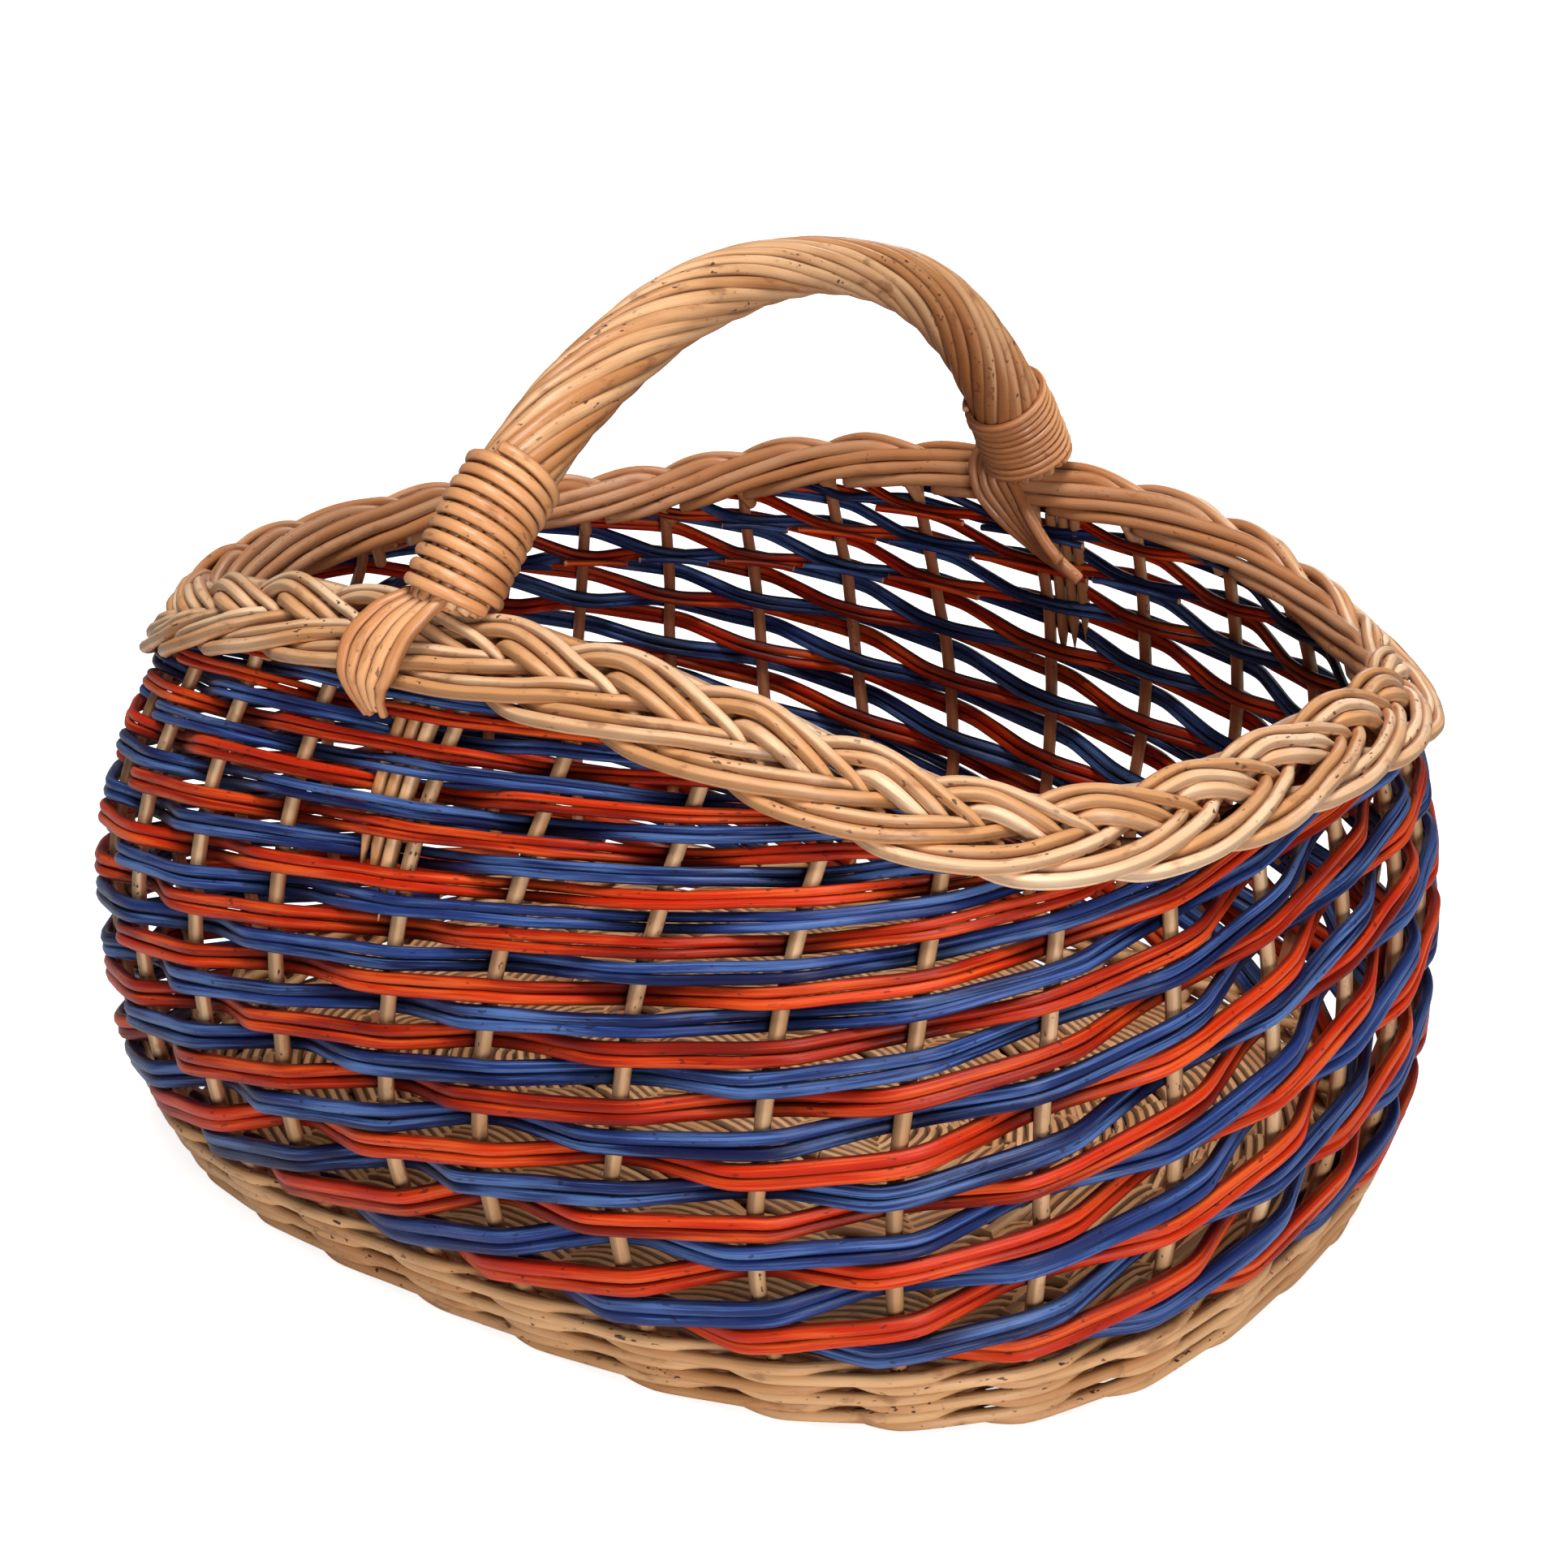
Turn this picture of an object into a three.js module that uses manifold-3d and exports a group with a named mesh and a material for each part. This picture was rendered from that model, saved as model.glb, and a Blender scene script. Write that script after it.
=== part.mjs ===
// Wicker shopping basket with a roped bow handle. Millimetres, +Z up, standing on z = 0.
// X runs along the basket, Y across it. The bow handle stands across its middle, a little askew.
import * as THREE from 'three';
import { mergeVertices } from 'three/addons/utils/BufferGeometryUtils.js';
import Module from 'manifold-3d';

const wasm = await Module();
wasm.setup();

// Basket body: half axes and squareness of the ovals that the uprights follow
const baseHalfLength = 207.6;
const baseHalfWidth = 163.5;
const baseSquareness = 2.8;
const bellyHalfLength = 226;
const bellyHalfWidth = 194.5;
const bellySquareness = 2.6;
const bellyLevel = 0.41;
const rimHalfLength = 207.6;
const rimHalfWidth = 162.2;
const rimSquareness = 3.05;
const rimShift = new THREE.Vector3(4.5, 3.3, 0);

// Rim height, its saddle towards the handle and the small lean of a hand-made rim
const rimHeight = 198.6;
const rimSaddle = 14.2;
const rimShoulder = 6.1;
const rimLeanAlong = -1.1;
const rimLeanAcross = 4.6;
const rimSkew = 0.6;
const wallStopsBelowRim = 12;

// Uprights and the sticks of the base that carry them
const uprightCount = 32;
const uprightRadius = 2.75;
const longStickCount = 5;
const longStickLevel = 4.1;
const crossStickLevel = 10.7;
const uprightTopBelowRim = 11;
const uprightBend = 5;
const uprightSides = 5;
const uprightSteps = 8;
const clearance = 0.35;

// Base mat of woven rods
const matThickness = 14.9;
const matRidge = 0.8;
const matRidgeCount = 5;
const matEdgePastWall = 2.4;
const matSteps = 48;
const footRingWidth = 12;

// Upsett: one rod that winds up the foot of the wall
const upsettRod = 4;
const upsettPitch = 4.5;
const upsettRounds = 4;
const upsettSides = 5;

// Coloured weavers: pairs of rods that climb one layer for each upright
const firstLayerLevel = 28.2;
const firstLayerRise = 11.6;
const layerEasing = 0.165;
const weaverGap = 1;
const weaverGapRadius = 2.75;
const bendSlack = 0.35;
const weaverButtThickness = 4.8;
const weaverTipThickness = 2.6;
const weaverLayers = 25;
const weaverStart = 0.2;
const shortestEnd = 0.25;
const weaveTopBelowRim = 12;

// Plaited border
const plaitStrandWidth = 8;
const plaitStrandThickness = 4.4;
const plaitStrandFlat = 0.3;
const plaitSwing = 9.5;
const plaitLift = 4.6;
const plaitTilt = 38;
const uprightsPerPlait = 3;

// Bow handle of rods roped round each other
const bowNearSide = 158;
const bowFarSide = 153;
const bowNearShift = -3.6;
const bowFarShift = 17.2;
const bowRise = 100;
const bowFullness = 1.41;
const ropeRadius = 11.2;
const ropeRods = 9;
const ropeGroove = 1.6;
const ropeTurns = 2.4;
const ropeEndAboveRim = 21;
const ropeSections = 27;

// Bindings wound round the two ends of the bow
const nearBindingRod = 4.2;
const nearBindingTurns = 7;
const farBindingRod = 2.8;
const farBindingTurns = 7;
const bindingThickness = 3.2;
const bindingShoulder = 0.2;
const bindingGap = 1.2;
const bindingSteps = 10;

// Rods that tie the bow to the border, and the ends of the bow beside the wall's uprights
const clawRods = 5;
const clawRodWidth = 5.2;
const clawThickness = 4.6;
const clawRouteReach = 13.5;
const clawRouteShare = 0.35;
const footRods = 3;
const footRodWidth = 4.6;
const footThickness = 5.4;
const footLength = 62;

const willow = 0xc8925f;
const paleWillow = 0xd3a06c;
const red = 0xc03a1c;
const blue = 0x2f4f96;
const basket = new THREE.Group();

function addPiece(name, geometry, color, roughness) {
  const material = new THREE.MeshStandardMaterial({ color, roughness, metalness: 0 });
  const mesh = new THREE.Mesh(geometry, material);
  mesh.name = name;
  basket.add(mesh);
}

// A closed solid through rings of points, capped at both ends or joined into a loop
function skin(rings, loop = false) {
  const sides = rings[0].length;
  const points = rings.flat();
  const faces = [];
  const count = loop ? rings.length : rings.length - 1;
  for (let i = 0; i < count; i++) {
    const next = (i + 1) % rings.length;
    for (let j = 0; j < sides; j++) {
      const k = (j + 1) % sides;
      faces.push(i * sides + j, i * sides + k, next * sides + k);
      faces.push(i * sides + j, next * sides + k, next * sides + j);
    }
  }
  if (!loop) {
    const last = (rings.length - 1) * sides;
    for (const [start, flip] of [[0, true], [last, false]]) {
      const centre = new THREE.Vector3();
      for (let j = 0; j < sides; j++) centre.addScaledVector(points[start + j], 1 / sides);
      points.push(centre);
      for (let j = 0; j < sides; j++) {
        const k = (j + 1) % sides;
        const pair = flip ? [start + k, start + j] : [start + j, start + k];
        faces.push(points.length - 1, ...pair);
      }
    }
  }
  let volume = 0;
  for (let f = 0; f < faces.length; f += 3) {
    const [a, b, c] = [points[faces[f]], points[faces[f + 1]], points[faces[f + 2]]];
    volume += a.dot(new THREE.Vector3().crossVectors(b, c));
  }
  if (volume < 0) faces.reverse();
  const geometry = new THREE.BufferGeometry();
  const places = points.flatMap((point) => point.toArray());
  geometry.setAttribute('position', new THREE.Float32BufferAttribute(places, 3));
  geometry.setIndex(faces);
  return geometry;
}

// A ring of points round a centre, from an outline in the plane of two directions
function ringOf(outline, centre, across, upwards) {
  return outline.map(([u, v]) => centre.clone().addScaledVector(across, u).addScaledVector(upwards, v));
}

function roundOutline(radius, sides) {
  const outline = [];
  for (let j = 0; j < sides; j++) {
    const turn = ((j + 0.5) / sides) * 2 * Math.PI;
    outline.push([radius * Math.cos(turn), radius * Math.sin(turn)]);
  }
  return outline;
}

// Rods lying side by side: a flat outline with a groove between each two rods
function bandOutline(rods, rodWidth, thickness) {
  const groove = thickness * 0.3;
  const half = (rods * rodWidth) / 2;
  const face = [];
  for (let j = 0; j < rods; j++) {
    if (j > 0) face.push([-half + j * rodWidth, thickness / 2 - groove]);
    face.push([-half + (j + 0.5) * rodWidth, thickness / 2]);
  }
  return [[-half, 0], ...face, [half, 0], ...face.map(([u, v]) => [u, -v]).reverse()];
}

// Rings square to a path, whose outline's second direction leans as far as it can towards a guide
function sweep(path, outlineAt, guideAt, loop = false) {
  return path.map((point, i) => {
    const before = path[loop ? (i + path.length - 1) % path.length : Math.max(i - 1, 0)];
    const after = path[loop ? (i + 1) % path.length : Math.min(i + 1, path.length - 1)];
    const along = after.clone().sub(before).normalize();
    const guide = guideAt(i);
    const upwards = guide.clone().addScaledVector(along, -guide.dot(along)).normalize();
    const across = new THREE.Vector3().crossVectors(along, upwards);
    return ringOf(outlineAt(i), point, across, upwards);
  });
}

function mix(a, b, share) {
  return a + (b - a) * share;
}

// Height of the rim's centreline over the ground at an angle of the oval
function rimLevel(angle) {
  const saddle = rimShoulder * Math.cos(4 * angle) - rimSaddle * Math.cos(2 * angle);
  const lean = rimLeanAlong * Math.cos(angle) - rimLeanAcross * Math.sin(angle);
  return rimHeight + saddle + lean - rimSkew * Math.sin(2 * angle);
}

function oval(halfLength, halfWidth, squareness, angle, level) {
  const c = Math.cos(angle);
  const s = Math.sin(angle);
  const x = halfLength * Math.sign(c) * Math.abs(c) ** (2 / squareness);
  const y = halfWidth * Math.sign(s) * Math.abs(s) ** (2 / squareness);
  return new THREE.Vector3(x, y, level);
}

// The surface that the uprights follow: base oval, belly and drawn-in rim
function wall(angle, level) {
  const share = Math.max(0, level / (rimLevel(angle) - wallStopsBelowRim));
  let lengthwise;
  let across;
  let squareness;
  let draw = 0;
  if (share < bellyLevel) {
    const swell = Math.sin(((share / bellyLevel) * Math.PI) / 2);
    lengthwise = mix(baseHalfLength, bellyHalfLength, swell);
    across = mix(baseHalfWidth, bellyHalfWidth, swell);
    squareness = mix(baseSquareness, bellySquareness, share / bellyLevel);
  } else {
    const climb = (share - bellyLevel) / (1 - bellyLevel);
    draw = Math.min(1, (1 - Math.cos((Math.min(climb, 1) * Math.PI) / 2)) ** 1.3);
    lengthwise = mix(bellyHalfLength, rimHalfLength, draw);
    across = mix(bellyHalfWidth, rimHalfWidth, draw);
    squareness = mix(bellySquareness, rimSquareness, Math.min(climb, 1));
  }
  return oval(lengthwise, across, squareness, angle, level).addScaledVector(rimShift, draw);
}

// Angles of the oval at equal steps along the belly
const arcSteps = 1440;
const arcTable = [0];
for (let i = 1; i <= arcSteps; i++) {
  const [before, here] = [i - 1, i].map((step) => {
    return oval(bellyHalfLength, bellyHalfWidth, bellySquareness, (step / arcSteps) * 2 * Math.PI, 0);
  });
  arcTable.push(arcTable[i - 1] + here.distanceTo(before));
}
const girth = arcTable[arcSteps];
const uprightSpacing = girth / uprightCount;

function angleAt(arc) {
  const turns = Math.floor(arc / girth);
  const rest = arc - turns * girth;
  let i = 1;
  while (i < arcSteps && arcTable[i] < rest) i++;
  const share = (rest - arcTable[i - 1]) / (arcTable[i] - arcTable[i - 1]);
  return ((i - 1 + share) / arcSteps + turns) * 2 * Math.PI;
}

// Place, outward direction and upward direction of the wall at an arc length and level
function wallFrame(arc, level) {
  const angle = angleAt(arc);
  const place = wall(angle, level);
  const rise = wall(angle, level + 0.5).sub(wall(angle, level - 0.5));
  const along = wall(angleAt(arc + 4), level).sub(wall(angleAt(arc - 4), level)).normalize();
  const outward = new THREE.Vector3().crossVectors(along, rise).normalize();
  return { angle, place, outward, along, upward: rise.clone().normalize(), stretch: rise.length() };
}

// The path of an upright, from the bend at the base edge to its top under the border
function uprightPath(index, stickLevel) {
  const arc = index * uprightSpacing;
  const top = rimLevel(angleAt(arc)) - uprightTopBelowRim;
  const bottom = stickLevel + uprightBend;
  const path = [];
  for (let i = 0; i <= uprightSteps; i++) path.push(wall(angleAt(arc), mix(bottom, top, i / uprightSteps)));
  return path;
}

// A base stick with the upright at each of its ends
function stickPath(startIndex, endIndex, stickLevel) {
  const start = uprightPath(startIndex, stickLevel).reverse();
  const end = uprightPath(endIndex, stickLevel);
  const corners = [startIndex, endIndex].map((index) => wall(angleAt(index * uprightSpacing), stickLevel));
  const inset = uprightBend / corners[0].distanceTo(corners[1]);
  const flat = [corners[0].clone().lerp(corners[1], inset), corners[1].clone().lerp(corners[0], inset)];
  return [...start, ...flat, ...end];
}

const quarter = uprightCount / 4;
const endReach = (longStickCount - 1) / 2;
const sticks = [];
for (let i = -endReach; i <= endReach; i++) {
  sticks.push({ name: 'long_stick', from: i, to: uprightCount / 2 - i, level: longStickLevel });
}
for (let i = endReach + 1 - quarter; i <= quarter - endReach - 1; i++) {
  sticks.push({ name: 'cross_stick', from: quarter + i, to: -quarter - i, level: crossStickLevel });
}

function stickSolid(stick, radius) {
  const path = stickPath(stick.from, stick.to, stick.level);
  const crosswise = path[0].clone().sub(path[path.length - 1]).setZ(0).normalize();
  const side = new THREE.Vector3(-crosswise.y, crosswise.x, 0);
  const outline = roundOutline(radius, uprightSides);
  return skin(sweep(path, () => outline, () => side));
}

const stickNumbers = { long_stick: 0, cross_stick: 0 };
for (const stick of sticks) {
  stickNumbers[stick.name] += 1;
  const name = `${stick.name}_${String(stickNumbers[stick.name]).padStart(2, '0')}`;
  addPiece(name, stickSolid(stick, uprightRadius), willow, 0.6);
}

// Base mat: ridged rings of woven rods on a flat foot ring, with a channel for each stick
function toManifold(geometry) {
  const bare = geometry.clone();
  bare.deleteAttribute('normal');
  bare.deleteAttribute('uv');
  const merged = mergeVertices(bare, 1e-5);
  return new wasm.Manifold(new wasm.Mesh({
    numProp: 3,
    vertProperties: new Float32Array(merged.attributes.position.array),
    triVerts: new Uint32Array(merged.index.array),
  }));
}

function fromManifold(solid) {
  const mesh = solid.getMesh();
  const geometry = new THREE.BufferGeometry();
  geometry.setAttribute('position', new THREE.Float32BufferAttribute(mesh.vertProperties, 3));
  geometry.setIndex(Array.from(mesh.triVerts));
  return geometry;
}

function matRing(inset, level) {
  const ring = [];
  for (let i = 0; i < matSteps; i++) {
    const angle = angleAt((i / matSteps) * girth);
    const halfLength = baseHalfLength + matEdgePastWall - inset;
    const halfWidth = baseHalfWidth + matEdgePastWall - inset;
    ring.push(oval(halfLength, halfWidth, baseSquareness, angle, level));
  }
  return ring;
}

const matReach = baseHalfWidth + matEdgePastWall;
const ridgeStep = (matReach - footRingWidth) / matRidgeCount;
const matRings = [];
matRings.push(matRing(matReach - 1, matRidge));
matRings.push(matRing(footRingWidth + 2, matRidge));
matRings.push(matRing(footRingWidth, 0));
matRings.push(matRing(0, 0));
matRings.push(matRing(0, matThickness));
for (let i = 0; i < matRidgeCount; i++) {
  matRings.push(matRing(footRingWidth + (i + 0.1) * ridgeStep, matThickness));
  matRings.push(matRing(footRingWidth + (i + 0.55) * ridgeStep, matThickness - matRidge));
}
matRings.push(matRing(matReach - 1, matThickness));
let mat = toManifold(skin(matRings));
for (const stick of sticks) {
  mat = mat.subtract(toManifold(stickSolid(stick, uprightRadius + clearance)));
}
addPiece('base_mat', fromManifold(mat), willow, 0.65);

// Upsett: outside the base edge at first, then in front of two uprights and behind one
const upsettPath = [];
for (let i = 0; i <= upsettRounds * uprightCount; i++) {
  const level = upsettRod / 2 + 0.1 + (i / uprightCount) * upsettPitch;
  const frame = wallFrame(i * uprightSpacing, level);
  const freeOfMat = level > matThickness + upsettRod / 2 + clearance;
  const behind = freeOfMat && i % 3 === 2;
  const sideways = frame.outward.clone().setZ(0).normalize();
  const offset = ((uprightRadius + clearance + upsettRod / 2) * 1.03) / frame.outward.dot(sideways);
  upsettPath.push(frame.place.addScaledVector(sideways, behind ? -offset : offset));
}
const upsettOutline = roundOutline(upsettRod / 2, upsettSides);
const up = new THREE.Vector3(0, 0, 1);
addPiece('upsett_rod', skin(sweep(upsettPath, () => upsettOutline, () => up)), willow, 0.65);

// Coloured weavers: behind one upright, in front of two, one layer higher at each upright
function layerLevel(layer) {
  return firstLayerLevel + firstLayerRise * layer - layerEasing * layer * layer;
}

const handleUprights = [quarter, 3 * quarter];
const footWidth = footRods * footRodWidth;
const footShift = uprightRadius + clearance + footWidth / 2;
const footTopBelowRim = 10.5;

// The section of a pair of rods; side is 1 in front of the uprights and -1 behind them
function weaverSection(arc, layer, side) {
  const frame = wallFrame(arc, layerLevel(layer));
  const gap = weaverGap * Math.max(1, uprightRadius / weaverGapRadius);
  const height = (layerLevel(layer + 0.5) - layerLevel(layer - 0.5)) * frame.stretch - gap;
  const taper = mix(weaverButtThickness, weaverTipThickness, layer / weaverLayers);
  const thickness = Math.min(taper, height);
  const offset = (uprightRadius + clearance + thickness / 2) * 1.04 + bendSlack;
  const centre = frame.place.addScaledVector(frame.outward, side * offset);
  const outline = [[-thickness / 2, -height / 2], [thickness / 2, -height / 2],
    [thickness / 2, height / 2], [-thickness / 2, height / 2]];
  return ringOf(outline, centre, frame.outward, frame.upward);
}

// How far over its ceiling under the border a weaver's upper edge stands
function overCeiling(arc, layer) {
  return layerLevel(layer + 0.5) - (rimLevel(angleAt(arc)) - weaveTopBelowRim);
}

function weaverSolid(start) {
  const rings = [weaverSection((start - weaverStart) * uprightSpacing, -weaverStart, -1)];
  let lastSide = -1;
  for (let layer = 0; layer <= weaverLayers; layer++) {
    const index = start + layer;
    const arc = index * uprightSpacing;
    const side = layer % 3 === 0 ? -1 : 1;
    const over = overCeiling(arc, layer);
    if (over > 0) {
      const under = overCeiling(arc - uprightSpacing, layer - 1);
      const share = -under / (over - under);
      if (share > shortestEnd) {
        const endSide = mix(lastSide, side, share);
        rings.push(weaverSection(arc - (1 - share) * uprightSpacing, layer - 1 + share, endSide));
      }
      break;
    }
    if (handleUprights.includes(index % uprightCount) && layer > 0) {
      const reach = footWidth + uprightRadius + 2;
      rings.push(weaverSection(arc - reach, layer - reach / uprightSpacing, side));
    }
    rings.push(weaverSection(arc, layer, side));
    lastSide = side;
  }
  return skin(rings);
}

for (let i = 0; i < uprightCount; i++) {
  const isRed = i % 2 === 0;
  const number = String(Math.floor(i / 2) + 1).padStart(2, '0');
  addPiece(`${isRed ? 'red' : 'blue'}_weaver_${number}`, weaverSolid(i), isRed ? red : blue, 0.5);
}

// Border: a plait of three strands that runs round three times and closes on itself
function rimFrame(arc) {
  const centre = (a) => {
    const angle = angleAt(a);
    return oval(rimHalfLength, rimHalfWidth, rimSquareness, angle, rimLevel(angle)).add(rimShift);
  };
  const along = centre(arc + 3).sub(centre(arc - 3)).normalize();
  const outward = new THREE.Vector3(along.y, -along.x, 0).normalize();
  const upward = new THREE.Vector3().crossVectors(outward, along);
  return { place: centre(arc), along, outward, upward };
}

function leaning(frame, outwardShare, upwardShare) {
  return frame.outward.clone().multiplyScalar(outwardShare).addScaledVector(frame.upward, upwardShare);
}

const tilt = THREE.MathUtils.degToRad(plaitTilt);
const plaitPath = [];
const plaitFaces = [];
const plaitSteps = uprightCount * 3 * 2;
for (let i = 0; i < plaitSteps; i++) {
  const frame = rimFrame((i / 2) * uprightSpacing);
  const phase = ((i / (2 * uprightsPerPlait)) + 1 / 12) * 2 * Math.PI;
  const sideways = leaning(frame, Math.cos(tilt), -Math.sin(tilt));
  const face = leaning(frame, Math.sin(tilt), Math.cos(tilt));
  const swing = plaitSwing * Math.sin(phase);
  const lift = plaitLift * Math.sin(2 * phase);
  plaitPath.push(frame.place.clone().addScaledVector(sideways, swing).addScaledVector(face, lift));
  plaitFaces.push(face);
}
const strandHalf = plaitStrandWidth / 2;
const strandFlat = strandHalf * plaitStrandFlat;
const strandFace = plaitStrandThickness / 2;
const strandOutline = [[-strandHalf, 0], [-strandFlat, -strandFace], [strandFlat, -strandFace],
  [strandHalf, 0], [strandFlat, strandFace], [-strandFlat, strandFace]];
const plaitRings = sweep(plaitPath, () => strandOutline, (i) => plaitFaces[i], true);
addPiece('border_plait', skin(plaitRings, true), paleWillow, 0.55);

// Bow handle: its centreline from the near side, share 0, to the far side, share 1
function bowPoint(share) {
  const middle = (bowFarSide - bowNearSide) / 2;
  const half = (bowFarSide + bowNearSide) / 2;
  const y = middle - half * Math.cos(Math.PI * share);
  const foot = mix(rimLevel(-Math.PI / 2), rimLevel(Math.PI / 2), share);
  const z = foot + bowRise * Math.sin(Math.PI * share) ** bowFullness;
  return new THREE.Vector3(mix(bowNearShift, bowFarShift, share), y, z);
}

const bowTable = [0];
const bowSteps = 400;
for (let i = 1; i <= bowSteps; i++) {
  bowTable.push(bowTable[i - 1] + bowPoint(i / bowSteps).distanceTo(bowPoint((i - 1) / bowSteps)));
}
const bowLength = bowTable[bowSteps];

function bowAt(length) {
  let i = 1;
  while (i < bowSteps && bowTable[i] < length) i++;
  const share = (length - bowTable[i - 1]) / (bowTable[i] - bowTable[i - 1]);
  const place = bowPoint((i - 1 + share) / bowSteps);
  const ahead = bowPoint(Math.min(1, (i + 2) / bowSteps));
  const along = ahead.sub(bowPoint(Math.max(0, (i - 3) / bowSteps))).normalize();
  const side = new THREE.Vector3(1, 0, 0).addScaledVector(along, -along.x).normalize();
  const over = new THREE.Vector3().crossVectors(side, along);
  return { place, along, side, over };
}

const ropeRings = [];
const ropeLength = bowLength - 2 * ropeEndAboveRim;
for (let i = 0; i <= ropeSections; i++) {
  const share = i / ropeSections;
  const frame = bowAt(ropeEndAboveRim + share * ropeLength);
  const twist = share * ropeTurns * 2 * Math.PI;
  const outline = [];
  for (let j = 0; j < ropeRods * 2; j++) {
    const turn = (j / (ropeRods * 2)) * 2 * Math.PI + twist;
    const radius = j % 2 === 0 ? ropeRadius : ropeRadius - ropeGroove;
    outline.push([radius * Math.cos(turn), radius * Math.sin(turn)]);
  }
  ropeRings.push(ringOf(outline, frame.place, frame.side, frame.over));
}
addPiece('handle_rope', skin(ropeRings), paleWillow, 0.55);

// Least distance between turns of a winding, less the width of its rod
function leastTurnGap(path, stepsPerTurn, rodWidth) {
  let least = Infinity;
  for (let i = 0; i < path.length; i++) {
    for (let j = i + Math.floor(stepsPerTurn / 2); j < path.length; j++) {
      least = Math.min(least, path[i].distanceTo(path[j]) - rodWidth);
    }
  }
  return least;
}

// A binding: one flat rod wound round an end of the bow
function bindingSolid(name, startLength, direction, rodWidth, turns) {
  const steps = bindingSteps;
  const pitch = rodWidth + bindingGap;
  const path = [];
  const outwards = [];
  for (let i = 0; i <= turns * steps; i++) {
    const turn = (i / steps) * 2 * Math.PI;
    const frame = bowAt(startLength + direction * (i / steps + 0.5) * pitch);
    const out = frame.side.clone().multiplyScalar(Math.cos(turn))
      .addScaledVector(frame.over, Math.sin(turn));
    const polygonSlack = 1 / Math.cos(Math.PI / steps);
    const reach = (ropeRadius + clearance) * polygonSlack + bindingThickness / 2;
    path.push(frame.place.addScaledVector(out, reach));
    outwards.push(out);
  }
  console.log(name, 'least gap between turns', leastTurnGap(path, steps, rodWidth).toFixed(2), 'mm');
  const half = rodWidth / 2;
  const face = bindingThickness / 2;
  const shoulder = bindingThickness * bindingShoulder;
  const outline = [[-half, -face], [half, -face], [half, shoulder], [0, face], [-half, shoulder]];
  return skin(sweep(path, () => outline, (i) => outwards[i]));
}

const nearStart = ropeEndAboveRim;
const farStart = bowLength - ropeEndAboveRim;
const nearBinding = bindingSolid('near_binding', nearStart, 1, nearBindingRod, nearBindingTurns);
const farBinding = bindingSolid('far_binding', farStart, -1, farBindingRod, farBindingTurns);
addPiece('near_binding', nearBinding, willow, 0.5);
addPiece('far_binding', farBinding, willow, 0.5);

// Claws: rods side by side that leave a binding, pass over the border and tuck in under it
function clawSolid(side, route) {
  const arc = (side > 0 ? quarter : 3 * quarter) * uprightSpacing;
  const frame = rimFrame(arc);
  const reach = 1 + ((plaitSwing + plaitStrandWidth / 2) / clawRouteReach - 1) * clawRouteShare;
  const curve = new THREE.CatmullRomCurve3(route.map(([outward, upward, along]) => frame.place.clone()
    .addScaledVector(frame.outward, outward * reach)
    .addScaledVector(frame.upward, upward * reach)
    .addScaledVector(new THREE.Vector3(1, 0, 0), along)));
  const path = curve.getPoints(9);
  const outline = bandOutline(clawRods, clawRodWidth, clawThickness);
  const hub = frame.place.clone();
  return skin(sweep(path, () => outline, (i) => path[i].clone().sub(hub)));
}

const nearClawRoute = [[-5.8, 16.2, -4.7], [1.2, 15.7, -7.5], [10.1, 9.8, -12.1], [15.4, 1.9, -14.2],
  [19.4, -7.7, -16.4], [16.8, -14.4, -16.8], [14.1, -18.8, -17.2]];
const farClawRoute = [[-7.6, 15.1, 4.4], [-11.7, 12.4, 4.3], [-16.2, 8.5, 5.4], [-15.7, 0.7, 8.3],
  [-12.5, -8.5, 13.4], [-12.3, -17.6, 19.8], [-8.3, -24.2, 25.2]];
addPiece('near_claw', clawSolid(-1, nearClawRoute), paleWillow, 0.55);
addPiece('far_claw', clawSolid(1, farClawRoute), paleWillow, 0.55);

// Ends of the bow: rods pushed down beside the handle's uprights inside the weave
function footSolid(index) {
  const arc = index * uprightSpacing - footShift;
  const top = rimLevel(angleAt(arc)) - footTopBelowRim;
  const path = [];
  const guides = [];
  const outlines = [];
  for (let i = 0; i <= 5; i++) {
    const frame = wallFrame(arc, top - (i / 5) * footLength);
    path.push(frame.place);
    guides.push(frame.outward);
    const narrow = i < 4 ? 1 : 1 - 0.35 * (i - 3);
    outlines.push(bandOutline(footRods, footRodWidth * narrow, footThickness));
  }
  return skin(sweep(path, (i) => outlines[i], (i) => guides[i]));
}

addPiece('near_bow_end', footSolid(3 * quarter), paleWillow, 0.6);
addPiece('far_bow_end', footSolid(quarter), paleWillow, 0.6);

export default basket;
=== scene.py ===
import math

import bpy
import numpy as np
from mathutils import Matrix


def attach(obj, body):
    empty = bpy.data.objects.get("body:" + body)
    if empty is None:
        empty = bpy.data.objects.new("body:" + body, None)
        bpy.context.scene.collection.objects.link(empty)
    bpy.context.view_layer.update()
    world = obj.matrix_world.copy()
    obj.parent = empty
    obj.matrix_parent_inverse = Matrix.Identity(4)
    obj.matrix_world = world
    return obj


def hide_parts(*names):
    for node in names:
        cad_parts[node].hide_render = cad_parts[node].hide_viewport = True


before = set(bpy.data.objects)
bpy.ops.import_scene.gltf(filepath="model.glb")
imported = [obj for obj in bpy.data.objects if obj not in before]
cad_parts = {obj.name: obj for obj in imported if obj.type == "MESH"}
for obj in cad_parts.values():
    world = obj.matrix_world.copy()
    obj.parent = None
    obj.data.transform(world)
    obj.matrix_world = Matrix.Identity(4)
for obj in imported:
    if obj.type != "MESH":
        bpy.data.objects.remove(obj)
bpy.ops.object.select_all(action="DESELECT")
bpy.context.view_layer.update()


# Camera: it stands off the near long side, a little towards the right-hand end, and looks
# down into the basket from about 20 degrees over the ground through a long lens.
camera_turn = math.radians(36.90)
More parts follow.
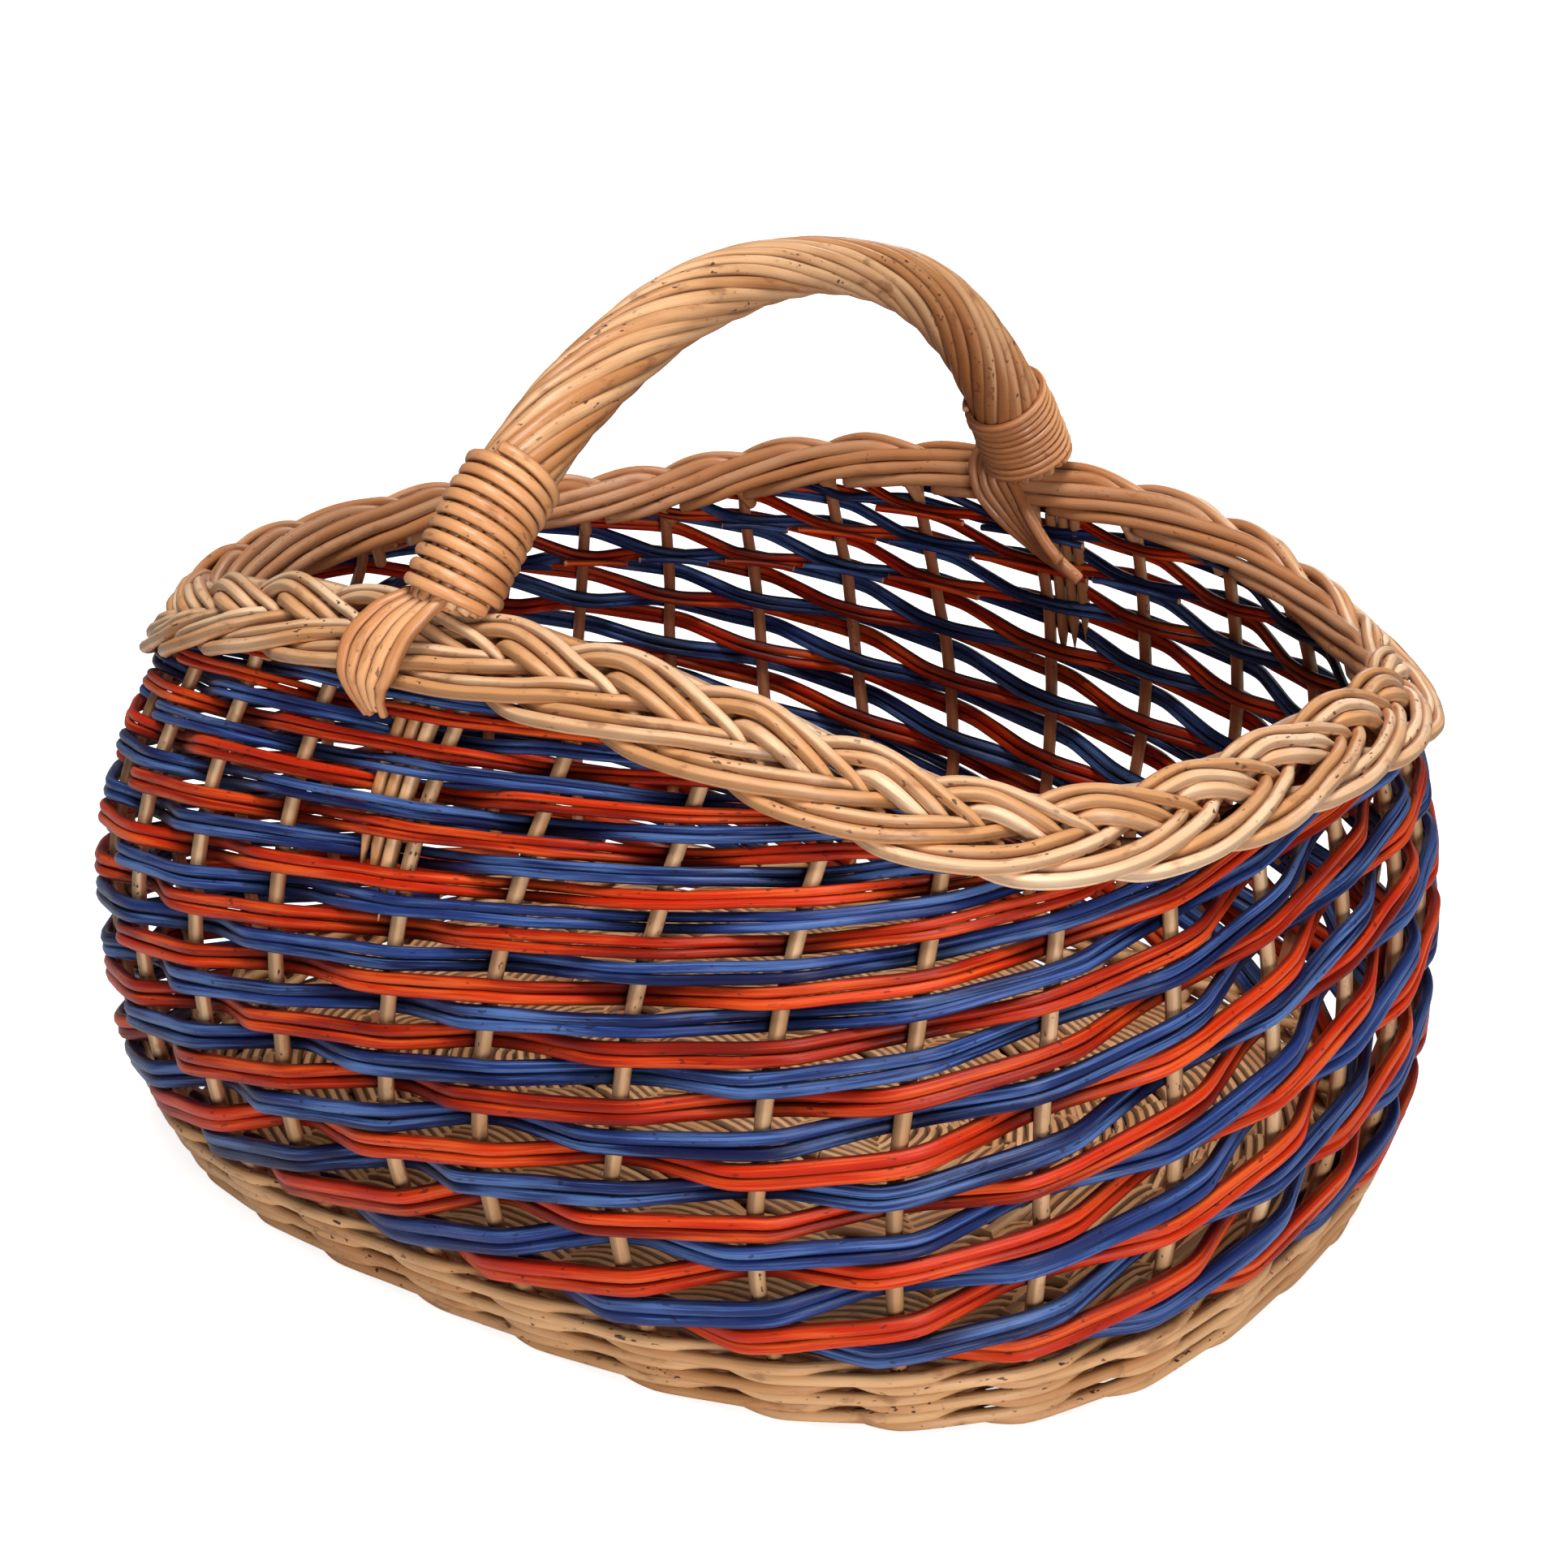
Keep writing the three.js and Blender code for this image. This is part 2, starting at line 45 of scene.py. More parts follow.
camera_height = math.radians(20.08)
camera_distance = 1.005
camera_roll = 0.0074
camera_target = np.array([0.0046, 0.0085, 0.1329])
turned = np.array([math.cos(camera_turn), math.sin(camera_turn), 0])
backwards = np.array([
    math.sin(camera_turn) * math.cos(camera_height),
    -math.cos(camera_turn) * math.cos(camera_height),
    math.sin(camera_height),
])
upwards = np.cross(backwards, turned)
camera_right = turned * math.cos(camera_roll) + upwards * math.sin(camera_roll)
camera_up = upwards * math.cos(camera_roll) - turned * math.sin(camera_roll)
bpy.ops.object.camera_add()
camera = bpy.context.object
camera.name = "camera"
camera.data.sensor_width = 36
camera.data.lens = 64.2
camera_place = camera_target + backwards * camera_distance
camera.matrix_world = Matrix([
    (camera_right[0], camera_up[0], backwards[0], camera_place[0]),
    (camera_right[1], camera_up[1], backwards[1], camera_place[1]),
    (camera_right[2], camera_up[2], backwards[2], camera_place[2]),
    (0, 0, 0, 1),
])
bpy.context.scene.camera = camera


# Uprights and base sticks: peeled willow rods a little thinner than a pencil. Each stick crosses
# the base and turns up at its two ends into the uprights, which run up the wall to the border.
upright_count = 32
upright_radius = 0.00275
upright_rod = 0.0026
upright_below_rim = 0.007
upright_steps = 40
long_stick_level = 0.0068
cross_stick_level = 0.0107
stick_bend = 0.009
stick_arch = 0.0004
# The ovals of the wall, each with its half length, half width and squareness.
foot_oval = (0.2076, 0.1635, 2.8)
belly_oval = (0.226, 0.1945, 2.6)
rim_oval = (0.2076, 0.1622, 3.05)
rim_height = 0.1986
rim_shift = np.array([0.0045, 0.0033, 0])
belly_share = 0.41
wall_below_rim = 0.012
# Uprights that stand off their even places along the wall, and how far the others stray.
upright_stray = 0.0013
upright_shifts = {
    24: 0.0035, 25: -0.0022, 26: 0.0026, 27: 0.0043, 28: 0.0022, 29: 0.0026,
    30: 0.0075, 31: 0.0125, 0: 0.0115, 1: 0.0105, 2: 0.007, 3: 0.004,
}


def unit(vectors):
    """Vectors cut to length 1."""
    vectors = np.asarray(vectors, float)
    return vectors / np.linalg.norm(vectors, axis=-1, keepdims=True)


def mix(start, end, share):
    """A value at a share of the way from start to end."""
    return start + (end - start) * share


def hump(place, middle, reach):
    """A smooth hump: 1 at its middle, and near 0 at twice its reach."""
    return np.exp(-((place - middle) / reach) ** 2)


def oval(half_length, half_width, squareness, angle, level):
    """Points of a squarish oval at an angle and a level."""
    c, s = np.cos(angle), np.sin(angle)
    x = half_length * np.sign(c) * np.abs(c) ** (2 / squareness)
    y = half_width * np.sign(s) * np.abs(s) ** (2 / squareness)
    return np.stack([x, y, level + 0 * angle], -1)


def rim_level(angle):
    """Height of the border's middle: high beside the handle, low towards the two ends."""
    saddle = 0.0061 * np.cos(4 * angle) - 0.0142 * np.cos(2 * angle)
    lean = 0.0011 * np.cos(angle) + 0.0046 * np.sin(angle) + 0.0006 * np.sin(2 * angle)
    return rim_height + saddle - lean


def wall(angle, level):
    """The surface of the uprights: out from the base to the belly, then in to the rim."""
    share = np.maximum(0, level / (rim_level(angle) - wall_below_rim))
    lower = np.minimum(share / belly_share, 1)
    upper = np.clip((share - belly_share) / (1 - belly_share), 0, 1)
    swell = np.sin(lower * np.pi / 2)
    draw = (1 - np.cos(upper * np.pi / 2)) ** 1.3
    half_length = mix(mix(foot_oval[0], belly_oval[0], swell), rim_oval[0], draw)
    half_width = mix(mix(foot_oval[1], belly_oval[1], swell), rim_oval[1], draw)
    squareness = mix(mix(foot_oval[2], belly_oval[2], lower), rim_oval[2], upper)
    shift = np.asarray(draw)[..., None] * rim_shift
    return oval(half_length, half_width, squareness, angle, level) + shift


arc_angles = np.linspace(0, 2 * np.pi, 1441)
arc_points = oval(*belly_oval, arc_angles, 0)
arc_steps = np.linalg.norm(np.diff(arc_points, axis=0), axis=1)
arc_table = np.concatenate([[0], np.cumsum(arc_steps)])
girth = arc_table[-1]
upright_spacing = girth / upright_count
arc_step = 0.004
level_step = 0.0005


def angle_at(arc):
    """Angle of the oval at a length along the belly."""
    turns = np.floor(arc / girth)
    return np.interp(arc - turns * girth, arc_table, arc_angles) + turns * 2 * np.pi


def wall_frame(arc, level):
    """Place, outward and upward direction of the wall at a length along it and a level, and
    how much of the wall there is to a unit of height."""
    angle = angle_at(arc)
    place = wall(angle, level)
    along = wall(angle_at(arc + arc_step), level) - wall(angle_at(arc - arc_step), level)
    rise = wall(angle, level + level_step) - wall(angle, level - level_step)
    stretch = np.linalg.norm(rise, axis=-1) / (2 * level_step)
    return place, unit(np.cross(along, rise)), unit(rise), stretch


upright_random = np.random.default_rng(4)
upright_arcs = upright_spacing * np.arange(upright_count)
for number in range(upright_count):
    stray = upright_random.normal(0, upright_stray)
    upright_arcs[number] += upright_shifts.get(number, stray)


def arc_at(index):
    """Length along the wall at a number of uprights from the right-hand end."""
    whole = np.floor(index).astype(int)
    here = upright_arcs[whole % upright_count] + girth * (whole // upright_count)
    after = upright_arcs[(whole + 1) % upright_count] + girth * ((whole + 1) // upright_count)
    return mix(here, after, index - whole)


def wander(run, reach, wave, random):
    """A smooth stray line over a length, about as wide as reach."""
    line = np.zeros_like(run)
    for stretch, share in ((1, 0.6), (0.53, 0.35), (0.29, 0.2)):
        line += share * np.sin(run / (wave * stretch) * 2 * np.pi + random.uniform(0, 6.28))
    return reach * line


def run_of(path):
    """Length along a path at each of its points."""
    return np.concatenate([[0], np.cumsum(np.linalg.norm(np.diff(path, axis=0), axis=1))])


def points_at(marks, known, points):
    """Points at the marks, on straight lines between the points that stand at known marks."""
    points = np.asarray(points, float)
    return np.stack([np.interp(marks, known, points[:, axis]) for axis in range(3)], -1)


def rounded(path, times):
    """The path with its corners rounded a number of times, and its ends where they were."""
    for _ in range(times):
        path[1:-1] = path[:-2] * 0.25 + path[1:-1] * 0.5 + path[2:] * 0.25
    return path


def even_path(path, step, rounding=1):
    """The same path in even steps, with its corners rounded."""
    path = np.asarray(path, float)
    run = run_of(path)
    count = max(4, int(round(run[-1] / step)) + 1)
    return rounded(points_at(np.linspace(0, run[-1], count), run, path), rounding)


# As shares: how much a rod swells, how thin a slyped tip gets, how far a closed end stands out
# and how wide it is, and how much painted shade darkens a rod where it runs behind others.
rod_swelling = 0.035
tip_thickness = 0.12
end_bulge = 0.25
end_size = 0.8
behind_shade_share = 0.62


def bent_rod(path, radius, guide=(0, 0, 1), depth=None, sides=10, random=None, point=0, shade_behind=0):
    """The rings of one rod along a path. depth is its radius towards the guide, when it is
    squashed flat, point is the length of a slyped tip at its far end, and the last argument, 0 to 1
    along the path, is how much painted shade darkens the rod where it runs behind others."""
    count = len(path)
    along = unit(np.gradient(path, axis=0))
    guide = np.broadcast_to(np.asarray(guide, float), path.shape)
    up = unit(guide - along * np.sum(guide * along, axis=-1, keepdims=True))
    across = np.cross(along, up)
    run = run_of(path)
    random = random or np.random.default_rng(0)
    wide = np.broadcast_to(np.asarray(radius, float), count)
    wide = wide * (1 + wander(run, rod_swelling, 0.06, random))
    deep = np.broadcast_to(np.asarray(radius if depth is None else depth, float), count)
    deep = deep * (1 + wander(run, rod_swelling, 0.05, random))
    if point:
        taper = np.clip((run[-1] - run) / point, tip_thickness, 1)
        wide, deep = wide * taper, deep * taper
    ends = [0, *range(count), count - 1]
    shift = np.zeros(count + 2)
    shift[0], shift[-1] = -end_bulge * wide[0], end_bulge * wide[-1]
    size = np.ones(count + 2)
    size[0] = size[-1] = end_size
    turn = (np.arange(sides) + 0.5) / sides * 2 * np.pi
    u = (wide[ends] * size)[:, None] * np.cos(turn)
    v = (deep[ends] * size)[:, None] * np.sin(turn)
    centre = (path[ends] + along[ends] * shift[:, None])[:, None]
    points = centre + across[ends][:, None] * u[..., None] + up[ends][:, None] * v[..., None]
    seed = random.uniform(0, 1, 3)
    lengths = np.broadcast_to((run[ends] + seed[2])[:, None], u.shape)
    grain = np.stack([u + seed[0], v + seed[1], lengths], -1)
    shaded_behind = np.broadcast_to(shade_behind, count)[ends]
    marks = np.zeros((*u.shape, 3))
    marks[..., 0] = random.uniform(0, 1)
    # The crown value: 1 on the rod's crown and 0 on its sides, lowered where the rod runs behind
    # others. The shaders paint shade from it.
    marks[..., 1] = np.abs(np.sin(turn)) * (1 - behind_shade_share * shaded_behind)[:, None]
    marks[[0, -1], :, 2] = 1
    return points, grain, marks


def rod_piece(name, rods, nodes, finish):
    """One mesh of several rods, each closed at both ends, which stands for the CAD nodes."""
    points, grains, marks, corners, starts = [], [], [], [], []
    offset = 0
    loop = 0
    for rings, grain, mark in rods:
        count, sides = rings.shape[:2]
        number = np.arange(count * sides).reshape(count, sides) + offset
        after = np.roll(number, -1, axis=1)
        quads = np.stack([number[:-1], number[1:], after[1:], after[:-1]], -1).reshape(-1, 4)
        corners += [quads.ravel(), number[0], number[-1][::-1]]
        starts.append(loop + 4 * np.arange(len(quads)))
        loop += 4 * len(quads)
        starts.append(np.array([loop, loop + sides]))
        loop += 2 * sides
        points.append(rings.reshape(-1, 3))
        grains.append(grain.reshape(-1, 3))
        marks.append(mark.reshape(-1, 3))
        offset += count * sides
    mesh = bpy.data.meshes.new(name)
    corners = np.concatenate(corners)
    starts = np.concatenate(starts)
    mesh.vertices.add(offset)
    mesh.vertices.foreach_set("co", np.concatenate(points).ravel())
    mesh.loops.add(len(corners))
    mesh.loops.foreach_set("vertex_index", corners.astype(np.int32))
    mesh.polygons.add(len(starts))
    mesh.polygons.foreach_set("loop_start", starts.astype(np.int32))
    mesh.update(calc_edges=True)
    mesh.shade_smooth()
    # marks carries each rod's tone, the crown value that sets the painted shade, and its cut ends.
    for label, values in (("grain", grains), ("marks", marks)):
        attribute = mesh.attributes.new(label, "FLOAT_VECTOR", "POINT")
        attribute.data.foreach_set("vector", np.concatenate(values).ravel())
    piece = bpy.data.objects.new(name, mesh)
    bpy.context.scene.collection.objects.link(piece)
    mesh.materials.append(finish)
    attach(piece, "root")
    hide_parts(*nodes)


class Shade:
    """An output of a shader node. Sums on it add Math nodes, and node() adds any other."""

    def __init__(self, tree, socket=None):
        self.tree = tree
        self.socket = socket

    def node(self, kind, settings=None, inputs=None, output=0):
        """One output of a new node, with its inputs set or linked by their names or numbers."""
        made = self.tree.nodes.new(kind)
        for name, value in (settings or {}).items():
            setattr(made, name, value)
        for name, value in (inputs or {}).items():
            if isinstance(value, Shade):
                self.tree.links.new(value.socket, made.inputs[name])
            else:
                made.inputs[name].default_value = value
        return Shade(self.tree, made.outputs[output])

    def math(self, operation, *values):
        inputs = dict(enumerate(values))
        return self.node("ShaderNodeMath", {"operation": operation}, inputs)

    def __add__(self, other):
        return self.math("ADD", self, other)

    def __radd__(self, other):
        return self.math("ADD", other, self)

    def __sub__(self, other):
        return self.math("SUBTRACT", self, other)

    def __rsub__(self, other):
        return self.math("SUBTRACT", other, self)

    def __mul__(self, other):
        return self.math("MULTIPLY", self, other)

    def __rmul__(self, other):
        return self.math("MULTIPLY", other, self)

    def vector(self, operation, other, output=0):
        """A vector operation on this value and another. Output 1 is the one that is a number."""
        inputs = {0: self, 1: other}
        return self.node("ShaderNodeVectorMath", {"operation": operation}, inputs, output)

    def scaled(self, across, along):
        """A grain vector times one factor across the rod and another along it."""
        return self.vector("MULTIPLY", (across, across, along))

    def noise(self, detail=2, roughness=0.5):
        """A noise over this vector."""
        inputs = {"Vector": self, "Scale": 1, "Detail": detail, "Roughness": roughness}
        return self.node("ShaderNodeTexNoise", {}, inputs)

    def between(self, low, high, start=0, end=1):
        """This value spread from low..high to start..end, and held at the ends."""
        settings = {"interpolation_type": "SMOOTHSTEP"}
        inputs = {"Value": self, "From Min": low, "From Max": high, "To Min": start, "To Max": end}
        return self.node("ShaderNodeMapRange", settings, inputs)

    def blend(self, start, end):
        """A colour mixed from start to end by this value."""
        settings = {"data_type": "RGBA"}
        return self.node("ShaderNodeMix", settings, {0: self, 6: start, 7: end}, 2)


def paint(red, green, blue):
    """A colour of 0 to 255, as seen on a screen, as the shader's linear colour."""
    values = [value / 255 for value in (red, green, blue)]
    linear = [v / 12.92 if v <= 0.04045 else ((v + 0.055) / 1.055) ** 2.4 for v in values]
    return (*linear, 1)


def finish_of(name):
    """A new material with its shader, and what its rods carry: the grain, a tone for each rod, how
    near a point is to the rod's crown, which sets the painted shade, and whether it lies on a cut
    end."""
    material = bpy.data.materials.new(name)
    material.use_nodes = True
    tree = material.node_tree
    shader = tree.nodes["Principled BSDF"]
    start = Shade(tree)
    grain = start.node("ShaderNodeAttribute", {"attribute_name": "grain"}, {}, 1)
    marks = start.node("ShaderNodeAttribute", {"attribute_name": "marks"}, {}, 1)
    tone, crown, cut = [marks.node("ShaderNodeSeparateXYZ", {}, {0: marks}, i) for i in range(3)]
    return material, shader, grain, tone, crown, cut


def wear(shader, colour, roughness, height, distance):
    """Links a colour, a roughness and a height for the bump to a shader."""
    tree = colour.tree
    bump = colour.node("ShaderNodeBump", {}, {"Height": height, "Distance": distance, "Strength": 1})
    tree.links.new(colour.socket, shader.inputs["Base Color"])
    tree.links.new(roughness.socket, shader.inputs["Roughness"])
    tree.links.new(bump.socket, shader.inputs["Normal"])


speck_colour = paint(72, 42, 26)
# The colour of the painted shade on the sides of the natural rods.
gap_shade_colour = (0.115, 0.045, 0.017, 1)


def peeled_willow(name, pale, middle, dark, speck, roughness, gap=(0.62, 0.08), inward_shade=None):
    """Buff willow: fine fibres along the rod, darker bruises and small brown specks. Painted shade
    darkens its sides over the gap, two values of the crown, and its faces that look inward."""
    material, shader, grain, tone, crown, cut = finish_of(name)
    fibre = grain.scaled(1500, 45).noise(3, 0.6)
    patch = grain.scaled(70, 28).noise(2, 0.55)
    bruise = grain.scaled(160, 75).noise(3, 0.6).between(0.56, 0.72)
    dots = grain.scaled(620, 330).noise(1).between(0.66, 0.72)
    dots = dots * grain.scaled(60, 22).noise(1).between(0.48, 0.6)
    body = (patch * 0.7 + tone * 0.5 + fibre * 0.35 - 0.3).between(0.22, 0.75)
    colour = body.blend(middle, pale)
    colour = (bruise * 0.6).blend(colour, dark)
    colour = (dots * speck).blend(colour, speck_colour)
    # Painted shade on the sides of each rod, where it lies against its neighbours.
    colour = (crown.between(*gap) * 0.85).blend(colour, gap_shade_colour)
    # Painted shade on the faces that look in towards the middle of the basket.
    if inward_shade:
        place = grain.node("ShaderNodeTexCoord", {}, {}, 3)
        normal = grain.node("ShaderNodeTexCoord", {}, {}, 1)
        outward = place.vector("MULTIPLY", (7, 7, 0))
        facing = outward.vector("DOT_PRODUCT", normal, 1)
        colour = (facing.between(0.15, -0.5) * 0.75).blend(colour, inward_shade)
    colour = (cut * 0.7).blend(colour, pale)
    rough = fibre.between(0.3, 0.7, roughness - 0.08, roughness + 0.12)
    height = fibre * 0.5 + patch * 0.8 - dots * 0.6
    wear(shader, colour, rough, height, distance=0.0003)
    return material


# The uprights carry a painted shade colour on their inner faces.
upright_finish = peeled_willow(
    "upright_willow", pale=paint(226, 184, 140), middle=paint(190, 142, 98),
    dark=paint(128, 80, 48), speck=1.0, roughness=0.5, inward_shade=paint(160, 78, 46))


def upright_path(index, stick_level):
    """From the bend at the base edge up to the top, which is hidden in the border."""
    arc = arc_at(np.array(float(index)))
    top = rim_level(angle_at(arc)) - upright_below_rim
    levels = np.linspace(stick_level + stick_bend, top, upright_steps)
    place, outward, _, _ = wall_frame(np.full(upright_steps, arc), levels)
    along = np.cross(np.array([0, 0, 1.0]), outward)
    random = np.random.default_rng(700 + index % upright_count)
    stray = wander(levels, 0.0007, 0.11, random) * np.minimum(1, (levels - levels[0]) / 0.03)
    return place + along * stray[:, None]


def stick_feet(start, end, level):
    """The two points of the wall's foot between which a stick lies."""
    return [wall(angle_at(arc_at(np.array(float(i)))), level) for i in (start, end)]


def stick_rod(start, end, level):
    """The rod of a stick: along the base, and up the wall at both of its ends."""
    first = upright_path(start, level)
    last = upright_path(end, level)
    feet = stick_feet(start, end, level)
    inset = stick_bend / np.linalg.norm(feet[1] - feet[0])
    flat = [mix(feet[0], feet[1], inset), mix(feet[1], feet[0], inset)]
    middle = [mix(flat[0], flat[1], share) for share in np.linspace(0, 1, 30)]
    path = even_path([*first[::-1], *middle, *last], 0.0035, 3)
    path[:, 2] += stick_arch * hump(run_of(path) / run_of(path)[-1], 0.5, 0.2)
    crosswise = unit((path[0] - path[-1]) * (1, 1, 0))
    side = np.array([-crosswise[1], crosswise[0], 0])
    random = np.random.default_rng(900 + start % upright_count)
    heights = np.clip((path[:, 2] - 0.02) / 0.17, 0, 1)
    return bent_rod(path, upright_rod * (1.04 - 0.12 * heights), side, random=random)


quarter = upright_count // 4
sticks = [("long_stick", i, upright_count // 2 - i, long_stick_level) for i in range(-2, 3)]
sticks += [("cross_stick", quarter + i, -quarter - i, cross_stick_level) for i in range(-5, 6)]
stick_numbers = {"long_stick": 0, "cross_stick": 0}
for kind, first_end, last_end, level in sticks:
    stick_numbers[kind] += 1
    node = f"{kind}_{stick_numbers[kind]:02d}"
    rod = stick_rod(first_end, last_end, level)
    rod_piece(f"willow_{node}", [rod], [node], upright_finish)


# Base: thinner peeled rods woven over and under the sticks in rows, from the middle out to
# the foot of the wall. Each row passes over the sticks that its neighbour passes under.
base_rod = 0.0021
base_pitch = 0.00195
# The rows by how far they lie in from the wall's foot, and the gap between a row's two ends.
first_row_inset = 0.0036
last_row_inset = 0.1628
row_points = 1600
row_gap_points = 8
floor_gap = 0.0001
# The base rods carry painted shade over most of their sides, where they lie against each other.
base_finish = peeled_willow(
    "base_willow", pale=paint(230, 176, 124), middle=paint(200, 138, 88),
    dark=paint(134, 80, 46), speck=0.7, roughness=0.6, gap=(0.97, 0.72))
base_random = np.random.default_rng(21)
stick_lines = [(*stick_feet(start, end, level), level) for _, start, end, level in sticks]


def base_oval(inset, angle):
    """The oval of the wall's foot, drawn in by an inset."""
    half_length, half_width, squareness = foot_oval
    return oval(half_length - inset, half_width - inset, squareness, angle, 0)


def base_row(inset, parity):
    """One row of the base: an oval that rises over one stick and dips under the next."""
    turn = np.linspace(0, 2 * np.pi, 721)
    row = base_oval(inset, turn)
    crossings = []
    for foot, other, level in stick_lines:
        direction = unit((other - foot)[:2])
        side = (row[:, :2] - foot[:2]) @ np.array([-direction[1], direction[0]])
        crossings += [(turn[step], level) for step in np.flatnonzero(side[:-1] * side[1:] <= 0)]
    crossings.sort()
    angles, levels = [], []
    for number, (angle, level) in enumerate(crossings):
        sign = 1 if (number + parity) % 2 else -1
        angles.append(angle)
        levels.append(max(level + sign * (upright_radius + base_rod), base_rod + floor_gap))
    angles = np.array(angles)
    levels = np.array(levels)
    ring = np.linspace(0, 2 * np.pi, row_points)
    wrapped = np.concatenate([angles - 2 * np.pi, angles, angles + 2 * np.pi])
    heights = np.concatenate([levels] * 3)
    spot = np.searchsorted(wrapped, ring) - 1
    share = (ring - wrapped[spot]) / (wrapped[spot + 1] - wrapped[spot])
    eased = (1 - np.cos(np.clip(share, 0, 1) * np.pi)) / 2
    path = base_oval(inset, ring)
    path[:, 2] = mix(heights[spot], heights[spot + 1], eased)
    return path


base_rods = []
for number, inset in enumerate(np.arange(first_row_inset, last_row_inset, base_pitch)):
    row = base_row(inset, number)
    begin = base_random.integers(0, 1400)
    row = np.concatenate([row[begin:], row[1:begin + 1]])
    row[:, :2] *= 1 + wander(run_of(row), 0.0018, 0.2, base_random)[:, None]
    row = even_path(row[:-row_gap_points], 0.005, 1)
    base_rods.append(bent_rod(row, base_rod, sides=8, random=base_random))
rod_piece("woven_base", base_rods, ["base_mat"], base_finish)


# Upsett: three rounds of long natural rods, waled in threes. Each rod comes out from behind
# an upright, runs in front of two, over the rods before it, and goes in behind the third.
upsett_rod = 0.0023
upsett_rows = 3
upsett_bottom = 0.0002
waling_levels = (1.8, 1.0, 2.9)
waling_sides = (-1, 1, 1)
waling_reach = 0.14
upsett_finish = peeled_willow(
    "upsett_willow", pale=paint(216, 168, 118), middle=paint(190, 134, 84),
    dark=paint(134, 80, 44), speck=1.0, roughness=0.48)
upsett_random = np.random.default_rng(33)
upsett_rods = []
for row in range(upsett_rows):
    bottom = upsett_bottom + row * 4 * upsett_rod
    for strand in range(3):
        knots, outs = [], []
        for index in range(strand, strand + upright_count + 3):
            stage = (index - strand) % 3
            rise = waling_levels[stage] * upsett_rod
            side = waling_sides[stage]
            for reach in (-waling_reach, 0, waling_reach):
                lean = 0 if stage == 0 else reach * upsett_rod * 2
                level = np.array(bottom + rise + lean)
                place, outward, _, _ = wall_frame(arc_at(np.array(index + reach)), level)
                flat = unit(outward * (1, 1, 0))
                offset = (upright_radius + upsett_rod) * (1.05 if side > 0 else 0.9)
                knots.append(place + flat * offset * side / max(0.6, np.dot(flat, outward)))
                outs.append(flat)
        path = even_path(knots, 0.003, 3)
        path[:, 2] = np.maximum(path[:, 2], upsett_rod + floor_gap)
        guide = points_at(np.linspace(0, 1, len(path)), np.linspace(0, 1, len(outs)), outs)
        thick = upsett_rod * np.linspace(1.06, 0.94, len(path))
        upsett_rods.append(bent_rod(path, thick, guide, random=upsett_random))
rod_piece("waled_upsett", upsett_rods, ["upsett_rod"], upsett_finish)


# Coloured wall: 32 pairs of dyed rods, red and blue in turn. Each pair starts behind its own
# upright, then goes in front of two and behind one, a layer higher at every upright.
first_layer_level = 0.0276
first_layer_rise = 0.0116
layer_rise_loss = 0.000165
top_layer_rise = 0.0044
layer_gap = 0.0006
weaver_gap = 0.00035
weaver_thick = 0.0048
weaver_thin = 0.0026
weaver_below_rim = 0.004
tip_rod = 0.0014
tip_depth = 0.0013
tip_steps = 14
# These are counted in uprights, and so in layers: a weaver climbs one layer at each upright.
last_thinning_layer = 22
thinnest_layer = 25
most_layers = 29
weaver_start = -0.3
weaver_reach = 0.16
shortest_run = 0.6
steps_per_layer = 14
# How far the weave has settled up or down, in rows by level and columns by upright.
settled_uprights = (13, 15, 17, 19, 22, 24, 26, 28, 30, 32, 34, 36)
settled_levels = (0.030, 0.065, 0.100, 0.135, 0.170)
settled_by = np.array([
    (0, -1.2, -1.2, 0, 0.9, 1.8, 1.8, 1.3, 0.4, -3.5, -4, 0),
    (0, 1.7, 1.3, 0.5, 0.9, 2.3, 1.4, -3.7, -2.9, -5.5, -5.4, 0),
    (0, 2.1, 4.1, 2.1, 0.5, 0.6, -1.3, -7.6, -4.6, -5.1, -1.3, 0),
    (0, 3.4, 5, 3.7, 0.3, -0.7, -0.3, -3.2, -3, -1.1, -0.2, 0),
    (0, 3.8, 4.1, 3.9, 3.9, 0.4, -0.9, -2.8, -2.7, 1.1, 0.6, 0),
]) / 1000


def layer_level(layer):
    """Height of a layer: ever closer ones on the thinning rods, then even ones at the top."""
    low = np.minimum(layer, last_thinning_layer)
    bottom = first_layer_level + first_layer_rise * low - layer_rise_loss * low * low
    return bottom + top_layer_rise * (layer - low)


def weaver_level(index, layer):
    """Height of a layer at an upright, up or down from its even place as the rods settled."""
    level = layer_level(layer)
    first = settled_uprights[0]
    turn = (index - first) % upright_count + first
    here = [np.interp(turn, settled_uprights, line) for line in settled_by]
    return level + np.interp(level, settled_levels, here)


dyed_speck_colour = paint(28, 16, 18)
cut_colour = paint(206, 142, 92)


